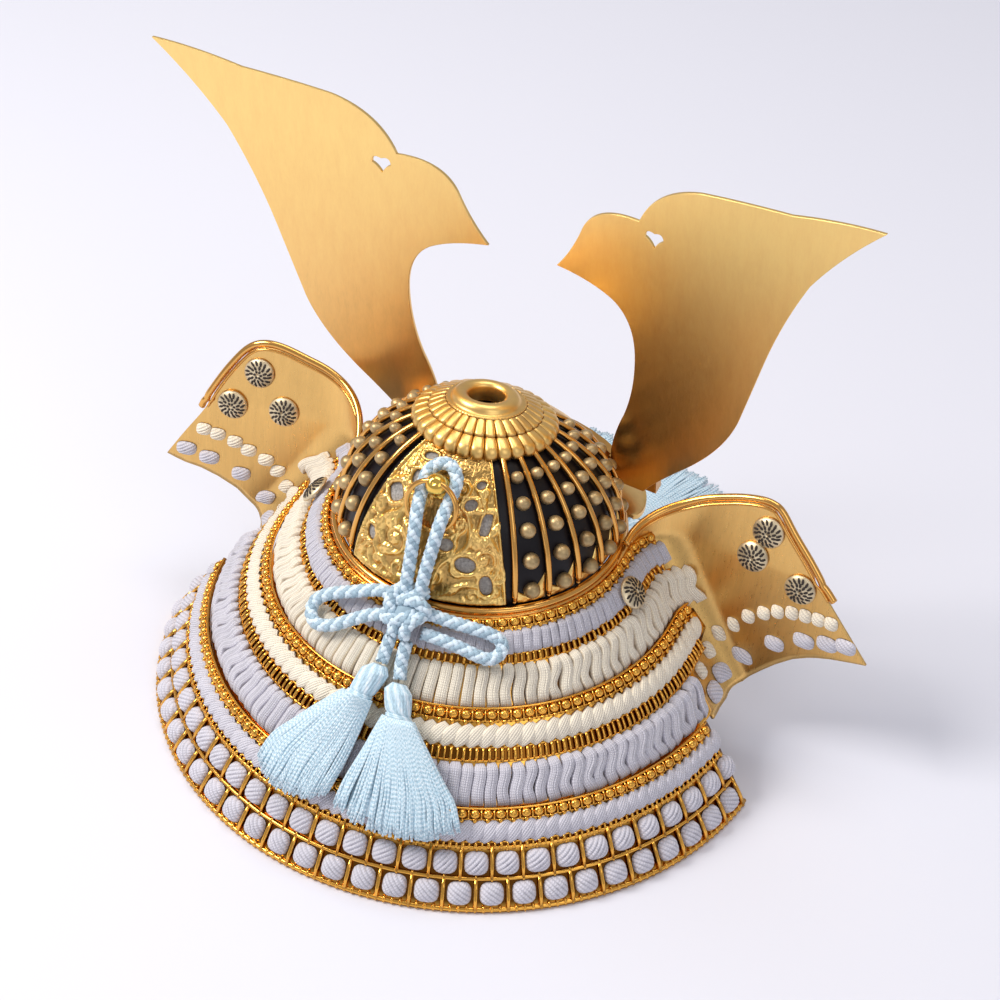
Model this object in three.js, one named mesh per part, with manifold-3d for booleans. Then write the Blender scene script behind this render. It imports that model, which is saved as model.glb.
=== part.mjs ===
// Kabuto helmet at the size of a Boys' Day display, built as separate closed pieces.
// Millimetres, +Z up. The helmet's front faces +Y, its back -Y, and its right side is +X.
// Angles round the helmet are in degrees from the middle of the back, positive towards +X.
import * as THREE from "three";
import { mergeVertices } from "three/addons/utils/BufferGeometryUtils.js";
import Module from "manifold-3d";

const wasm = await Module();
wasm.setup();

// ---- driving dimensions -------------------------------------------------
const BOWL_RADIUS = 40; // outside of the bowl at its rim
const BOWL_HEIGHT = 41.5; // its height above the rim
const BOWL_WALL = 1.2;
const RIM_Z = 63; // height of the bowl's rim above the surface the skirt stands on
const CROWN_HOLE = 5.2; // radius of the hole through the crown and its finial
const LEAN = 0.17; // the crown leans forward: slope of its front half at the top
const GAP = 0.3; // clearance between pieces that touch

const PANEL_LOW = 34.5; // half angle of the back panel at the rim
const PANEL_HIGH = 28.5; // and at its top
const PANEL_WALL = 1.2;
const RIB_FIRST = 37.5; // angle of the rib beside the back panel
const RIB_STEP = 14.25;
const RIB_COLUMNS = 7; // columns of rivets on each side
const RIB_RADIUS = 0.85;
const RIM_WIRE = 1.2; // radius of the rolled rim
const RIVET_ROWS = [
  { height: 5.2, radius: 2.4 },
  { height: 14, radius: 2.4 },
  { height: 21.8, radius: 2.3 },
  { height: 27.9, radius: 2.1 },
  { height: 33, radius: 1.85 },
];

const LAME_WALL = 0.9;
// outer faces of the three lames, from top to bottom edge: radius r at height z
const LAME_LINES = [
  [{ r: 43.4, z: 61.4 }, { r: 60.6, z: 40.6 }],
  [{ r: 61.4, z: 42.6 }, { r: 65.96, z: 37 }, { r: 67.75, z: 34.8 }, { r: 69.86, z: 32.2 }, { r: 78.0, z: 22.2 }],
  [{ r: 79.0, z: 24.2 }, { r: 86.2, z: 13.4 }, { r: 94.6, z: 0 }],
];
// the skirt's outermost line, over the lacing
const COVER_LINE = [
  { r: 96.5, z: 0 },
  { r: 81.4, z: 24 },
  { r: 63.9, z: 42 },
  { r: 47.2, z: 61 },
  { r: 43.4, z: 64.6 },
];
// angle at which each lame ends, by height: the middle one runs on under the turned-back plate
const LAME_ENDS = [
  [{ z: 0, angle: 87 }, { z: 70, angle: 87 }],
  [{ z: 22.2, angle: 87.4 }, { z: 32.2, angle: 89.4 }, { z: 34.8, angle: 99.5 }, { z: 37, angle: 103.2 }, { z: 42.6, angle: 103.2 }],
  [{ z: 0, angle: 82 }, { z: 30, angle: 82 }],
];

const FOLD_START = 6.7; // the turned-back plates run forward this far before they bend
const FOLD_ANGLE = { left: 99.6, right: 94.9 }; // degrees that they turn back: bent by hand
const FOLD_RADIUS = 14.1; // at the height of the rim
const FOLD_FLARE = 0.17; // growth of the fold radius for each mm of height
const FLAP_WALL = 0.9;
const FLAP_KNEE = 61.4; // below this height the plates follow the skirt's slope, above it they stand up
// Each turned-back plate laid flat: s is the length past the start of its fold, z the height.
// They were bent by hand, so the two differ a little.
const FLAP_EDGES = {
  left: [
    { s: -9.4, low: 19.5, high: 61.4 },
    { s: -5.4, low: 19.6, high: 62.4 },
    { s: 0, low: 19.8, high: 64.4 },
    { s: 8, low: 22.4, high: 68.8 },
    { s: 16.3, low: 26.4, high: 72.8 },
    { s: 23.7, low: 30.1, high: 75.4 },
    { s: 32.9, low: 33.3, high: 78.4 },
    { s: 40.4, low: 35.3, high: 80.5 },
    { s: 46.4, low: 36.2, high: 80.5 },
    { s: 50.4, low: 37.2, high: 78.2 },
    { s: 54.3, low: 38.3, high: 73.2 },
    { s: 57, low: 47, high: 69.2 },
    { s: 59.2, low: 55.4, high: 65.2 },
    { s: 60.6, low: 59.6, high: 62.4 },
  ],
  right: [
    { s: -9.4, low: 18.9, high: 61.4 },
    { s: -5.4, low: 19.0, high: 62.4 },
    { s: 0, low: 18.6, high: 64.0 },
    { s: 8, low: 20.6, high: 66.0 },
    { s: 17.4, low: 25.8, high: 69.6 },
    { s: 25.7, low: 30.2, high: 73.4 },
    { s: 33.7, low: 34.0, high: 76.7 },
    { s: 40.2, low: 36.4, high: 78.4 },
    { s: 43.8, low: 37.5, high: 78.4 },
    { s: 49.4, low: 38.9, high: 73.2 },
    { s: 56, low: 40.2, high: 66.4 },
    { s: 60.4, low: 41.0, high: 61.6 },
    { s: 61.6, low: 41.2, high: 56.2 },
  ],
};
// middle line of the rolled rim on the same flat pattern
const FLAP_RIM = {
  left: [
    { s: -2.4, z: 65.6 }, { s: 2, z: 67.4 }, { s: 8, z: 71.2 }, { s: 14, z: 74.2 },
    { s: 20.1, z: 76.5 }, { s: 30.8, z: 79.8 }, { s: 40.3, z: 82.5 }, { s: 46.6, z: 82.6 },
    { s: 51.4, z: 80 }, { s: 56.4, z: 73.5 }, { s: 60.7, z: 66.2 }, { s: 62.8, z: 61.4 },
    { s: 61.6, z: 58.2 },
  ],
  right: [
    { s: -2.4, z: 65.6 }, { s: 2, z: 66.4 }, { s: 9.1, z: 68.4 }, { s: 17.7, z: 71.6 },
    { s: 25.7, z: 75.3 }, { s: 33.7, z: 78.6 }, { s: 40.2, z: 80.3 }, { s: 44.4, z: 80.3 },
    { s: 47.4, z: 78.7 }, { s: 52.2, z: 73.4 }, { s: 58.9, z: 66.6 }, { s: 63.2, z: 61.4 },
    { s: 63.8, z: 57.6 },
  ],
};

const HORN_WALL = 1.1;
// the horns' shared plane, y at the middle of the helmet and at the rim's height, and its slopes
const HORN_PLANE = { y: 37.3, perX: -0.12, perZ: -0.2 };

const CORD_RADIUS = 2.0;

// ---- colours ------------------------------------------------------------
const paint = (color, roughness, metalness) =>
  new THREE.MeshStandardMaterial({ color, roughness, metalness });
const GOLD = paint(0xe0ad52, 0.3, 0.9);
const DEEP_GOLD = paint(0xc98a35, 0.35, 0.9);
const RIVET_BOWL = paint(0x1e181c, 0.4, 0.3);
const STUD = paint(0xcdb98c, 0.6, 0.2);
const LAVENDER = paint(0xcac7da, 0.85, 0);
const CREAM = paint(0xefe6d8, 0.85, 0);
const SKY = paint(0xc3dbea, 0.85, 0);

// ---- helpers ------------------------------------------------------------
const rad = THREE.MathUtils.degToRad;
const vec = (x, y, z) => new THREE.Vector3(x, y, z);

// Linear interpolation in a table: value of column `out` where column `key` is k.
function lookUp(table, key, out, k) {
  const rising = table[0][key] < table[table.length - 1][key];
  const rows = rising ? table : [...table].reverse();
  const last = rows.length - 1;
  let i = 0;
  while (i < last - 1 && k > rows[i + 1][key]) i++;
  const span = rows[i + 1][key] - rows[i][key];
  return rows[i][out] + ((k - rows[i][key]) / span) * (rows[i + 1][out] - rows[i][out]);
}

// Merges the vertices of a geometry and turns its faces outwards.
function closed(geometry) {
  const bare = geometry.index ? geometry.toNonIndexed() : geometry.clone();
  for (const name of Object.keys(bare.attributes))
    if (name !== "position") bare.deleteAttribute(name);
  const merged = mergeVertices(bare, 1e-3);
  const p = merged.attributes.position;
  const index = merged.index.array;
  const [a, b, c] = [vec(), vec(), vec()];
  let volume = 0;
  for (let i = 0; i < index.length; i += 3) {
    a.fromBufferAttribute(p, index[i]);
    b.fromBufferAttribute(p, index[i + 1]);
    c.fromBufferAttribute(p, index[i + 2]);
    volume += a.dot(b.cross(c));
  }
  if (volume < 0)
    for (let i = 0; i < index.length; i += 3)
      [index[i + 1], index[i + 2]] = [index[i + 2], index[i + 1]];
  return merged;
}

function toSolid(geometry) {
  const g = closed(geometry);
  return new wasm.Manifold(
    new wasm.Mesh({
      numProp: 3,
      vertProperties: new Float32Array(g.attributes.position.array),
      triVerts: new Uint32Array(g.index.array),
    }),
  );
}

function toGeometry(solid) {
  const mesh = solid.getMesh();
  const g = new THREE.BufferGeometry();
  g.setAttribute("position", new THREE.BufferAttribute(mesh.vertProperties, 3));
  g.setIndex(new THREE.BufferAttribute(mesh.triVerts, 1));
  return g;
}

const join = (geometries) =>
  toGeometry(geometries.map(toSolid).reduce((whole, piece) => whole.add(piece)));
const cut = (geometry, cutters) =>
  toGeometry(cutters.map(toSolid).reduce((whole, piece) => whole.subtract(piece), toSolid(geometry)));

// A solid through rings of points: neighbouring rings are joined, and both ends are closed by fans.
function loft(rings, { around = false } = {}) {
  const n = rings[0].length;
  const points = rings.flat();
  const faces = [];
  const steps = around ? rings.length : rings.length - 1;
  for (let i = 0; i < steps; i++) {
    const j = (i + 1) % rings.length;
    for (let k = 0; k < n; k++) {
      const m = (k + 1) % n;
      faces.push(i * n + k, j * n + k, j * n + m, i * n + k, j * n + m, i * n + m);
    }
  }
  if (!around)
    [0, rings.length - 1].forEach((row, end) => {
      const flat = rings[row].map((p) => p.clone());
      const caps = triangulate(flat);
      for (const [a, b, c] of caps) {
        const o = row * n;
        if (end === 0) faces.push(o + a, o + b, o + c);
        else faces.push(o + a, o + c, o + b);
      }
    });
  const g = new THREE.BufferGeometry().setFromPoints(points);
  g.setIndex(faces);
  return g;
}

// Triangles over a nearly flat ring of points, wound so that ring 0 of a loft faces back.
function triangulate(ring) {
  const centre = ring.reduce((sum, p) => sum.add(p), vec(0, 0, 0)).divideScalar(ring.length);
  const normal = vec(0, 0, 0);
  ring.forEach((p, i) => {
    const q = ring[(i + 1) % ring.length];
    normal.add(p.clone().sub(centre).cross(q.clone().sub(centre)));
  });
  normal.normalize();
  const across = ring[0].clone().sub(centre).normalize();
  const up = normal.clone().cross(across);
  const flat = ring.map((p) => {
    const d = p.clone().sub(centre);
    return new THREE.Vector2(d.dot(across), d.dot(up));
  });
  return THREE.ShapeUtils.triangulateShape(flat, []);
}

// A round bar along a smooth curve through points.
function bar(points, radius, { sides = 8, steps = 12, loop = false, bend = 0.5 } = {}) {
  const section = new THREE.Shape(
    Array.from({ length: sides }, (_, i) => {
      const a = (i / sides) * 2 * Math.PI;
      return new THREE.Vector2(radius * Math.cos(a), radius * Math.sin(a));
    }),
  );
  const path = new THREE.CatmullRomCurve3(points, loop, "catmullrom", bend);
  return new THREE.ExtrudeGeometry(section, { steps, extrudePath: path });
}

// A solid of revolution about +Z from a closed outline of {r, z} points.
function turned(outline, segments) {
  const points = outline.map((p) => new THREE.Vector2(p.r, p.z));
  if (outline[0].r > 0) points.push(points[0].clone());
  return new THREE.LatheGeometry(points, segments).rotateX(Math.PI / 2);
}

// ---- surfaces -----------------------------------------------------------
// A point of the bowl at an angle and a height above the rim, moved outwards along the surface's normal.
function onBowl(angle, height, out = 0) {
  const t = Math.asin(Math.min(1, height / BOWL_HEIGHT));
  const normal = new THREE.Vector2(
    Math.cos(t) / BOWL_RADIUS,
    Math.sin(t) / BOWL_HEIGHT,
  ).normalize();
  const r = BOWL_RADIUS * Math.cos(t) + out * normal.x;
  const z = RIM_Z + height + out * normal.y;
  return vec(r * Math.sin(rad(angle)), -r * Math.cos(rad(angle)), z);
}

// A point of a skirt surface whose radius is radiusAt(z). Past 90 degrees each further unit is a
// millimetre along the turned-back plate: straight on, round the fold, then straight out.
function skirtPoint(radiusAt, angle, z) {
  const side = Math.sign(angle) || 1;
  const a = Math.abs(angle);
  const r = radiusAt(z);
  if (a <= 90) return vec(side * r * Math.sin(rad(a)), -r * Math.cos(rad(a)), z);
  const s = a - 90 - FOLD_START;
  if (s <= 0) return vec(side * r, a - 90, z);
  const bend = FOLD_RADIUS + FOLD_FLARE * (z - RIM_Z + 1.4);
  const turn = Math.min(s / bend, rad(side < 0 ? FOLD_ANGLE.left : FOLD_ANGLE.right));
  const rest = s - bend * turn;
  return vec(
    side * (r + bend * (1 - Math.cos(turn)) + rest * Math.sin(turn)),
    FOLD_START + bend * Math.sin(turn) + rest * Math.cos(turn),
    z,
  );
}

// The same point moved outwards along the surface's normal.
function skirtOut(radiusAt, angle, z, out) {
  const e = 0.4;
  const at = (a, h) => skirtPoint(radiusAt, a, h);
  const along = at(angle + e, z).sub(at(angle - e, z));
  const up = at(angle, z + e).sub(at(angle, z - e));
  return at(angle, z).addScaledVector(along.cross(up).normalize(), out);
}

const lineRadius = (line) => (z) => lookUp(line, "z", "r", z);
const lameRadius = LAME_LINES.map(lineRadius);
const coverRadius = lineRadius(COVER_LINE);
// above the rim the turned-back plates stand almost upright
const flapRadius = (z) =>
  z < FLAP_KNEE ? lameRadius[0](z) : LAME_LINES[0][0].r + 0.1 * (z - FLAP_KNEE);

// Sweeps a section of {z, out} points round a skirt surface between two angles, or, where ends is a
// table, between minus and plus the angle that it gives at each height.
function band(radiusAt, section, ends, steps, swell = () => 0) {
  const endAt = (z) => (ends.length ? lookUp(ends, "z", "angle", z) : ends);
  const rings = [];
  for (let i = 0; i <= steps; i++) {
    const share = (2 * i) / steps - 1;
    rings.push(
      section.map((p) => {
        const out = p.out > GAP ? p.out + swell(i) : p.out;
        return skirtOut(radiusAt, share * endAt(p.z), p.z, out);
      }),
    );
  }
  return loft(rings);
}

// ---- the pieces ---------------------------------------------------------
const helmet = new THREE.Group();

// Moves the crown's forward half down, more the higher it lies; its back hardly moves.
const ON_CROWN = new Set([
  "hachi_bowl", "suji_ribs_and_rim", "back_panel", "front_panel", "tehen_finial", "kan_knob",
  "kan_ring", "cord_loop",
]);
function leaned(geometry) {
  const p = geometry.attributes.position;
  for (let i = 0; i < p.count; i++) {
    const share = THREE.MathUtils.clamp((p.getZ(i) - RIM_Z) / BOWL_HEIGHT, 0, 1.2);
    const ahead = p.getY(i) + 20;
    const drop = LEAN * share * 0.5 * (ahead + Math.sqrt(ahead * ahead + 64));
    p.setZ(i, p.getZ(i) - drop);
  }
  return geometry;
}

function add(name, geometry, material) {
  const mesh = new THREE.Mesh(closed(ON_CROWN.has(name) ? leaned(geometry) : geometry), material);
  mesh.name = name;
  helmet.add(mesh);
  return mesh;
}

const sides = [
  { name: "left", sign: -1 },
  { name: "right", sign: 1 },
];

// Bowl: a thin shell with a hole in its crown, and rows of domed rivets between the ribs.
function rivet(angle, row) {
  const dome = new THREE.ConeGeometry(row.radius, 3.9, 5);
  dome.rotateX(Math.PI / 2);
  const foot = onBowl(angle, row.height, 0);
  const tip = onBowl(angle, row.height, 1);
  dome.lookAt(tip.clone().sub(foot));
  const centre = onBowl(angle, row.height, 0.95);
  return dome.translate(centre.x, centre.y, centre.z);
}

function bowl() {
  const rows = 5;
  const top = Math.sqrt(1 - (CROWN_HOLE / BOWL_RADIUS) ** 2) * BOWL_HEIGHT;
  const outline = [];
  for (const out of [0, -BOWL_WALL]) {
    const face = [];
    for (let i = 0; i <= rows; i++) {
      const t = (i / rows) * Math.asin(top / BOWL_HEIGHT);
      const p = onBowl(90, BOWL_HEIGHT * Math.sin(t), out);
      face.push({ r: p.x, z: p.z });
    }
    outline.push(...(out ? face.reverse() : face));
  }
  const pieces = [turned(outline, 24)];
  for (const { sign } of sides)
    for (let c = 0; c < RIB_COLUMNS; c++)
      for (const row of RIVET_ROWS)
        pieces.push(rivet(sign * (RIB_FIRST + (c + 0.5) * RIB_STEP), row));
  return join(pieces);
}
add("hachi_bowl", bowl(), RIVET_BOWL);

// Ribs and rolled rim: one cage of wires that sits on the bowl.
function cage() {
  const out = GAP + RIB_RADIUS;
  const rim = BOWL_RADIUS + GAP + RIM_WIRE;
  const ring = Array.from({ length: 24 }, (_, i) => {
    const a = (i / 24) * 2 * Math.PI;
    return vec(rim * Math.sin(a), -rim * Math.cos(a), RIM_Z + 0.2);
  });
  const pieces = [
    loft(
      ring.map((p, i) => {
        const a = (i / 24) * 2 * Math.PI;
        const outward = vec(Math.sin(a), -Math.cos(a), 0);
        return Array.from({ length: 5 }, (_, k) => {
          const b = (k / 5) * 2 * Math.PI;
          return p
            .clone()
            .addScaledVector(outward, RIM_WIRE * Math.cos(b))
            .add(vec(0, 0, RIM_WIRE * Math.sin(b)));
        });
      }),
      { around: true },
    ),
  ];
  for (const { sign } of sides)
    for (let c = 0; c <= RIB_COLUMNS; c++) {
      const angle = sign * (RIB_FIRST + c * RIB_STEP);
      const line = [0.4, 10, 20, 28.5, 34.6].map((h) => onBowl(angle, h, out + 0.05));
      pieces.push(bar(line, RIB_RADIUS, { sides: 4, steps: 5 }));
    }
  return join(pieces);
}
add("suji_ribs_and_rim", cage(), DEEP_GOLD);

// Panels that follow the bowl: the back one is pierced and carries raised scrolls.
const PANEL_LOWEST = 1.8;
const PANEL_TOP = 34.5;
function panelSheet(middle, low, high, across) {
  const rings = [];
  const up = 5;
  for (let j = 0; j <= across; j++) {
    const ring = [];
    for (const out of [GAP, GAP + PANEL_WALL]) {
      const line = [];
      for (let i = 0; i <= up; i++) {
        const share = i / up;
        const half = low + (high - low) * share;
        const height = PANEL_LOWEST + (PANEL_TOP - PANEL_LOWEST) * Math.sin((share * Math.PI) / 2);
        line.push(onBowl(middle + half * (-1 + (2 * j) / across), height, out + 0.1));
      }
      ring.push(...(out > GAP ? line.reverse() : line));
    }
    rings.push(ring);
  }
  return loft(rings);
}

// openings of the pierced panel: angle, height above the rim, half width, half height, turn
const PIERCINGS = [
  { angle: -23.2, height: 25.2, wide: 2.6, tall: 2.3, turn: 30 },
  { angle: -27, height: 12.8, wide: 1.8, tall: 2.1, turn: 0 },
  { angle: -15.9, height: 30, wide: 1.8, tall: 2.1, turn: 0 },
  { angle: 8.2, height: 18.1, wide: 2.2, tall: 1.8, turn: 10 },
  { angle: 22.2, height: 31.8, wide: 1.3, tall: 1.2, turn: 0 },
  { angle: 17.4, height: 27.8, wide: 1.7, tall: 1.6, turn: 0 },
  { angle: 25.3, height: 23.8, wide: 1.4, tall: 3.0, turn: 0 },
  { angle: 17.3, height: 13.6, wide: 2.9, tall: 2.2, turn: -15 },
  { angle: 26, height: 8, wide: 1.7, tall: 3.1, turn: 15 },
];
function piercing({ angle, height, wide, tall, turn }) {
  const plug = new THREE.CylinderGeometry(1, 1, 6, 5).rotateX(Math.PI / 2);
  plug.scale(wide, tall, 1).rotateZ(rad(turn));
  const centre = onBowl(angle, height, 1);
  plug.lookAt(onBowl(angle, height, 2).sub(centre));
  return plug.translate(centre.x, centre.y, centre.z);
}

// raised scrolls: centre, radius in degrees of arc, and where each begins to curl
const SCROLLS = [
  { angle: -15, height: 15, size: 7, start: 0 },
  { angle: -24, height: 18.6, size: 4, start: 120 },
  { angle: 2, height: 25, size: 5, start: 60 },
  { angle: -8, height: 30.5, size: 4, start: 250 },
  { angle: 14, height: 21.6, size: 3.4, start: 200 },
  { angle: 27.5, height: 16.6, size: 3.2, start: 20 },
];
function scroll({ angle, height, size, start }) {
  const points = [];
  for (let i = 0; i <= 5; i++) {
    const share = i / 5;
    const a = rad(start + 330 * share);
    const r = size * (1 - 0.72 * share);
    const h = Math.min(PANEL_TOP - 1.5, height + 0.62 * r * Math.sin(a));
    points.push(onBowl(angle + r * Math.cos(a), Math.max(3.4, h), GAP + PANEL_WALL + 0.15));
  }
  return bar(points, 0.55, { sides: 3, steps: 5 });
}
add(
  "back_panel",
  join([
    cut(panelSheet(0, PANEL_LOW, PANEL_HIGH, 8), PIERCINGS.map(piercing)),
    ...SCROLLS.map(scroll),
  ]),
  GOLD,
);
const FRONT_HALF = 180 - (RIB_FIRST + RIB_COLUMNS * RIB_STEP);
add("front_panel", panelSheet(180, FRONT_HALF - 3, FRONT_HALF - 7, 8), GOLD);

// Finial round the crown hole: a petalled disc in two tiers with a rolled lip.
const FINIAL = [
  { r: CROWN_HOLE, z: 104.7 },
  { r: 12, z: 103.1 },
  { r: 19.4, z: 99.9 },
  { r: 20.8, z: 99.4 },
  { r: 20.9, z: 101.2 },
  { r: 18.7, z: 103.4 },
  { r: 12.4, z: 108.0 },
  { r: 10.8, z: 108.5 },
  { r: 9.2, z: 110.4 },
  { r: 7.2, z: 111.2 },
  { r: CROWN_HOLE, z: 110.0 },
];
add("tehen_finial", turned(FINIAL, 24), GOLD);

// Knob at the back of the crown, and the ring that passes through it.
const KNOB_HEIGHT = 30;
const KNOB_OUT = 6.5;
const RING_RADIUS = 7.2;
const RING_WIRE = 0.65;
function placeOnBowl(geometry, angle, height, out) {
  const centre = onBowl(angle, height, out);
  geometry.lookAt(onBowl(angle, height, out + 1).sub(centre));
  return geometry.translate(centre.x, centre.y, centre.z);
}
const KNOB = [
  { r: 0, z: 1.9 - KNOB_OUT },
  { r: 1.2, z: 1.9 - KNOB_OUT },
  { r: 1.2, z: -3.0 },
  { r: 2.6, z: -2.0 },
  { r: 3.2, z: 0 },
  { r: 2.4, z: 2.2 },
  { r: 0, z: 3.2 },
];
// Its top lies inside the knob, and it leans so that its foot rests on the panel under the cord.
function ring(wire, sides) {
  const torus = new THREE.TorusGeometry(RING_RADIUS, wire, sides, 18);
  const top = onBowl(0, KNOB_HEIGHT, KNOB_OUT + 1.5);
  const foot = onBowl(0, 21, 2.75);
  const up = top.clone().sub(foot).normalize();
  const out = vec(1, 0, 0).cross(up).negate();
  const centre = top.clone().addScaledVector(up, 0.6 - RING_RADIUS);
  torus.lookAt(out);
  return torus.translate(centre.x, centre.y, centre.z);
}
const knobBall = placeOnBowl(turned(KNOB, 8), 0, KNOB_HEIGHT, KNOB_OUT);
add("kan_knob", cut(knobBall, [ring(RING_WIRE + GAP, 4)]), GOLD);
add("kan_ring", ring(RING_WIRE, 5), GOLD);

// Lames: conical plates with a beaded top edge. The lower ones stand outside the upper ones.
const LAME_NAMES = ["lame_top", "lame_middle", "lame_bottom"];
LAME_NAMES.forEach((name, i) => {
  const line = LAME_LINES[i];
  const high = line[0].z;
  const outer = line.map((p) => ({ z: p.z, out: 0 }));
  outer.shift();
  const inner = line.map((p) => ({ z: p.z, out: -LAME_WALL })).reverse();
  inner[0].z += 0.7; // cuts the lower edge level
  const bead = [
    { z: high - 0.2, out: 0.9 },
    { z: high - 1.3, out: 1.3 },
    { z: high - 2.0, out: 0.1 },
  ];
  const section = [...bead, ...outer, ...inner];
  add(name, band(lameRadius[i], section, LAME_ENDS[i], i === 1 ? 30 : 24), DEEP_GOLD);
});

// Lacing bands. Each lies on a lame: z of its upper and lower edge, thickness and where it ends.
const BANDS = [
  { name: "lacing_thin", on: 0, high: 59.2, low: 54.3, thick: 1.9, ends: 107.5, paint: LAVENDER },
  { name: "lacing_cream", on: 0, high: 52.3, low: 43.6, thick: 3.0, ends: 111, paint: CREAM },
  { name: "stitch_cream", on: 1, high: 40.5, low: 36.6, thick: 1.8, ends: LAME_ENDS[1], paint: CREAM },
  { name: "lacing_lavender", on: 1, high: 32.8, low: 25.2, thick: 3.0, ends: 86.8, paint: LAVENDER },
  { name: "stitch_lavender", on: 2, high: 21.4, low: 17.0, thick: 1.8, ends: 81.6, paint: LAVENDER },
];
for (const { name, on, high, low, thick, ends, paint: material } of BANDS) {
  const radiusAt = on ? lameRadius[on] : flapRadius;
  const tall = high - low;
  const section = [
    { z: high, out: GAP },
    { z: high - 0.15 * tall, out: GAP + 0.85 * thick },
    { z: high - 0.6 * tall, out: GAP + thick },
    { z: low + 0.02 * tall, out: GAP + 0.6 * thick },
    { z: low, out: GAP },
  ];
  add(name, band(radiusAt, section, ends, ends < 100 ? 24 : 30), material);
}

// Rows of knots on the bottom lame: a lump for each knot, the lower row half a pitch on.
const KNOTS = 30;
const KNOT_END = 80.9;
const KNOT_ROWS = [
  { name: "knots_upper", high: 14.9, low: 8.9, first: 0 },
  { name: "knots_lower", high: 7.6, low: 1.9, first: 1 },
];
for (const { name, high, low, first } of KNOT_ROWS) {
  const section = [
    { z: high, out: GAP },
    { z: high - 1.2, out: GAP + 1.3 },
    { z: low + 1.2, out: GAP + 1.3 },
    { z: low, out: GAP },
  ];
  const swell = (i) => ((i + first) % 2 ? 0.5 : -0.7);
  add(name, band(lameRadius[2], section, KNOT_END, 2 * KNOTS - 2, swell), LAVENDER);
}

// Turned-back plates, with a rolled rim, studs and short rows of knots.
const onFlap = (sign, s, z, out) => skirtOut(flapRadius, sign * (90 + FOLD_START + s), z, out);
const FOLD_STOPS = [-9.4, -5.4, 0, 4.2, 8.4, 12.6, 16.8, 21, 25.2];
function flap(name, sign) {
  const edges = FLAP_EDGES[name];
  const stops = [...FOLD_STOPS, ...edges.map((e) => e.s).filter((s) => s > 26)];
  const rings = stops.map((s) => {
    const low = lookUp(edges, "s", "low", s);
    const high = lookUp(edges, "s", "high", s);
    const knee = THREE.MathUtils.clamp(FLAP_KNEE, low + 0.5, high - 0.5);
    const heights = [low, (low + knee) / 2, knee, high];
    return [
      ...heights.map((z) => onFlap(sign, s, z, 0)),
      ...heights.reverse().map((z) => onFlap(sign, s, z, -FLAP_WALL)),
    ];
  });
  return loft(rings);
}

const FLAP_STUDS = {
  left: [{ s: 46.8, z: 73.2 }, { s: 54.4, z: 61.4 }, { s: 38.1, z: 62.2 }],
  right: [{ s: 44.6, z: 71.7 }, { s: 54, z: 58.0 }, { s: 41.6, z: 62.8 }],
};
const STUD_OUTLINE = [
  { r: 0, z: GAP },
  { r: 4.3, z: GAP },
  { r: 4.2, z: 1.0 },
  { r: 2.6, z: 1.9 },
  { r: 0, z: 2.2 },
];
function stud(radiusAt, angle, z) {
  const disc = turned(STUD_OUTLINE, 10);
  const foot = skirtOut(radiusAt, angle, z, 0);
  const tip = skirtOut(radiusAt, angle, z, 1);
  disc.lookAt(tip.sub(foot));
  return disc.translate(foot.x, foot.y, foot.z);
}

// knots on the turned-back plates: distance past the fold start, height and half sizes
const FLAP_KNOTS = {
  left: [
    { name: "flap_knots_cream", paint: CREAM, wide: 2.1, tall: 2.7, places: [
      { s: -3.4, z: 28.8 }, { s: 4.3, z: 31 }, { s: 12, z: 35.6 }, { s: 19.5, z: 39.9 },
      { s: 26.5, z: 43.2 }, { s: 34.3, z: 45.5 }, { s: 40.8, z: 47.7 }, { s: 47.9, z: 49.3 },
      { s: 53.2, z: 50.2 },
    ] },
    { name: "flap_knots_lavender", paint: LAVENDER, wide: 2.9, tall: 2.9, places: [
      { s: -3.2, z: 22.9 }, { s: 4.4, z: 24.8 }, { s: 13.1, z: 29.2 }, { s: 27.9, z: 36.1 },
      { s: 41.9, z: 39.9 }, { s: 51, z: 41.7 },
    ] },
  ],
  right: [
    { name: "flap_knots_cream", paint: CREAM, wide: 1.75, tall: 2.7, places: [
      { s: -3.4, z: 28.8 }, { s: 4.3, z: 30.5 }, { s: 10.6, z: 34.1 }, { s: 18, z: 38 },
      { s: 26.2, z: 42.6 }, { s: 33.4, z: 45.7 }, { s: 39.4, z: 47.9 }, { s: 44.9, z: 49.3 },
      { s: 49.6, z: 50 }, { s: 53.9, z: 50.4 }, { s: 58, z: 50.6 },
    ] },
    { name: "flap_knots_lavender", paint: LAVENDER, wide: 2.6, tall: 2.6, places: [
      { s: -3.6, z: 22.5 }, { s: 3.6, z: 24.2 }, { s: 13.7, z: 28.6 }, { s: 30.1, z: 36.9 },
      { s: 42.8, z: 41.6 }, { s: 51.5, z: 43.5 }, { s: 58.2, z: 44.9 },
    ] },
  ],
};
function knotStrip(sign, { wide, tall, places }) {
  const rings = [];
  places.forEach(({ s, z }) => {
    for (const [shift, size] of [[-1, 0.35], [0, 1], [1, 0.35]]) {
      const angle = sign * (90 + FOLD_START + s + shift * wide);
      const h = tall * size;
      rings.push([
        skirtOut(flapRadius, angle, z - h, GAP),
        skirtOut(flapRadius, angle, z - 0.6 * h, GAP + 1.5 * size),
        skirtOut(flapRadius, angle, z + 0.6 * h, GAP + 1.5 * size),
        skirtOut(flapRadius, angle, z + h, GAP),
      ]);
    }
  });
  return loft(rings);
}

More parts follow.
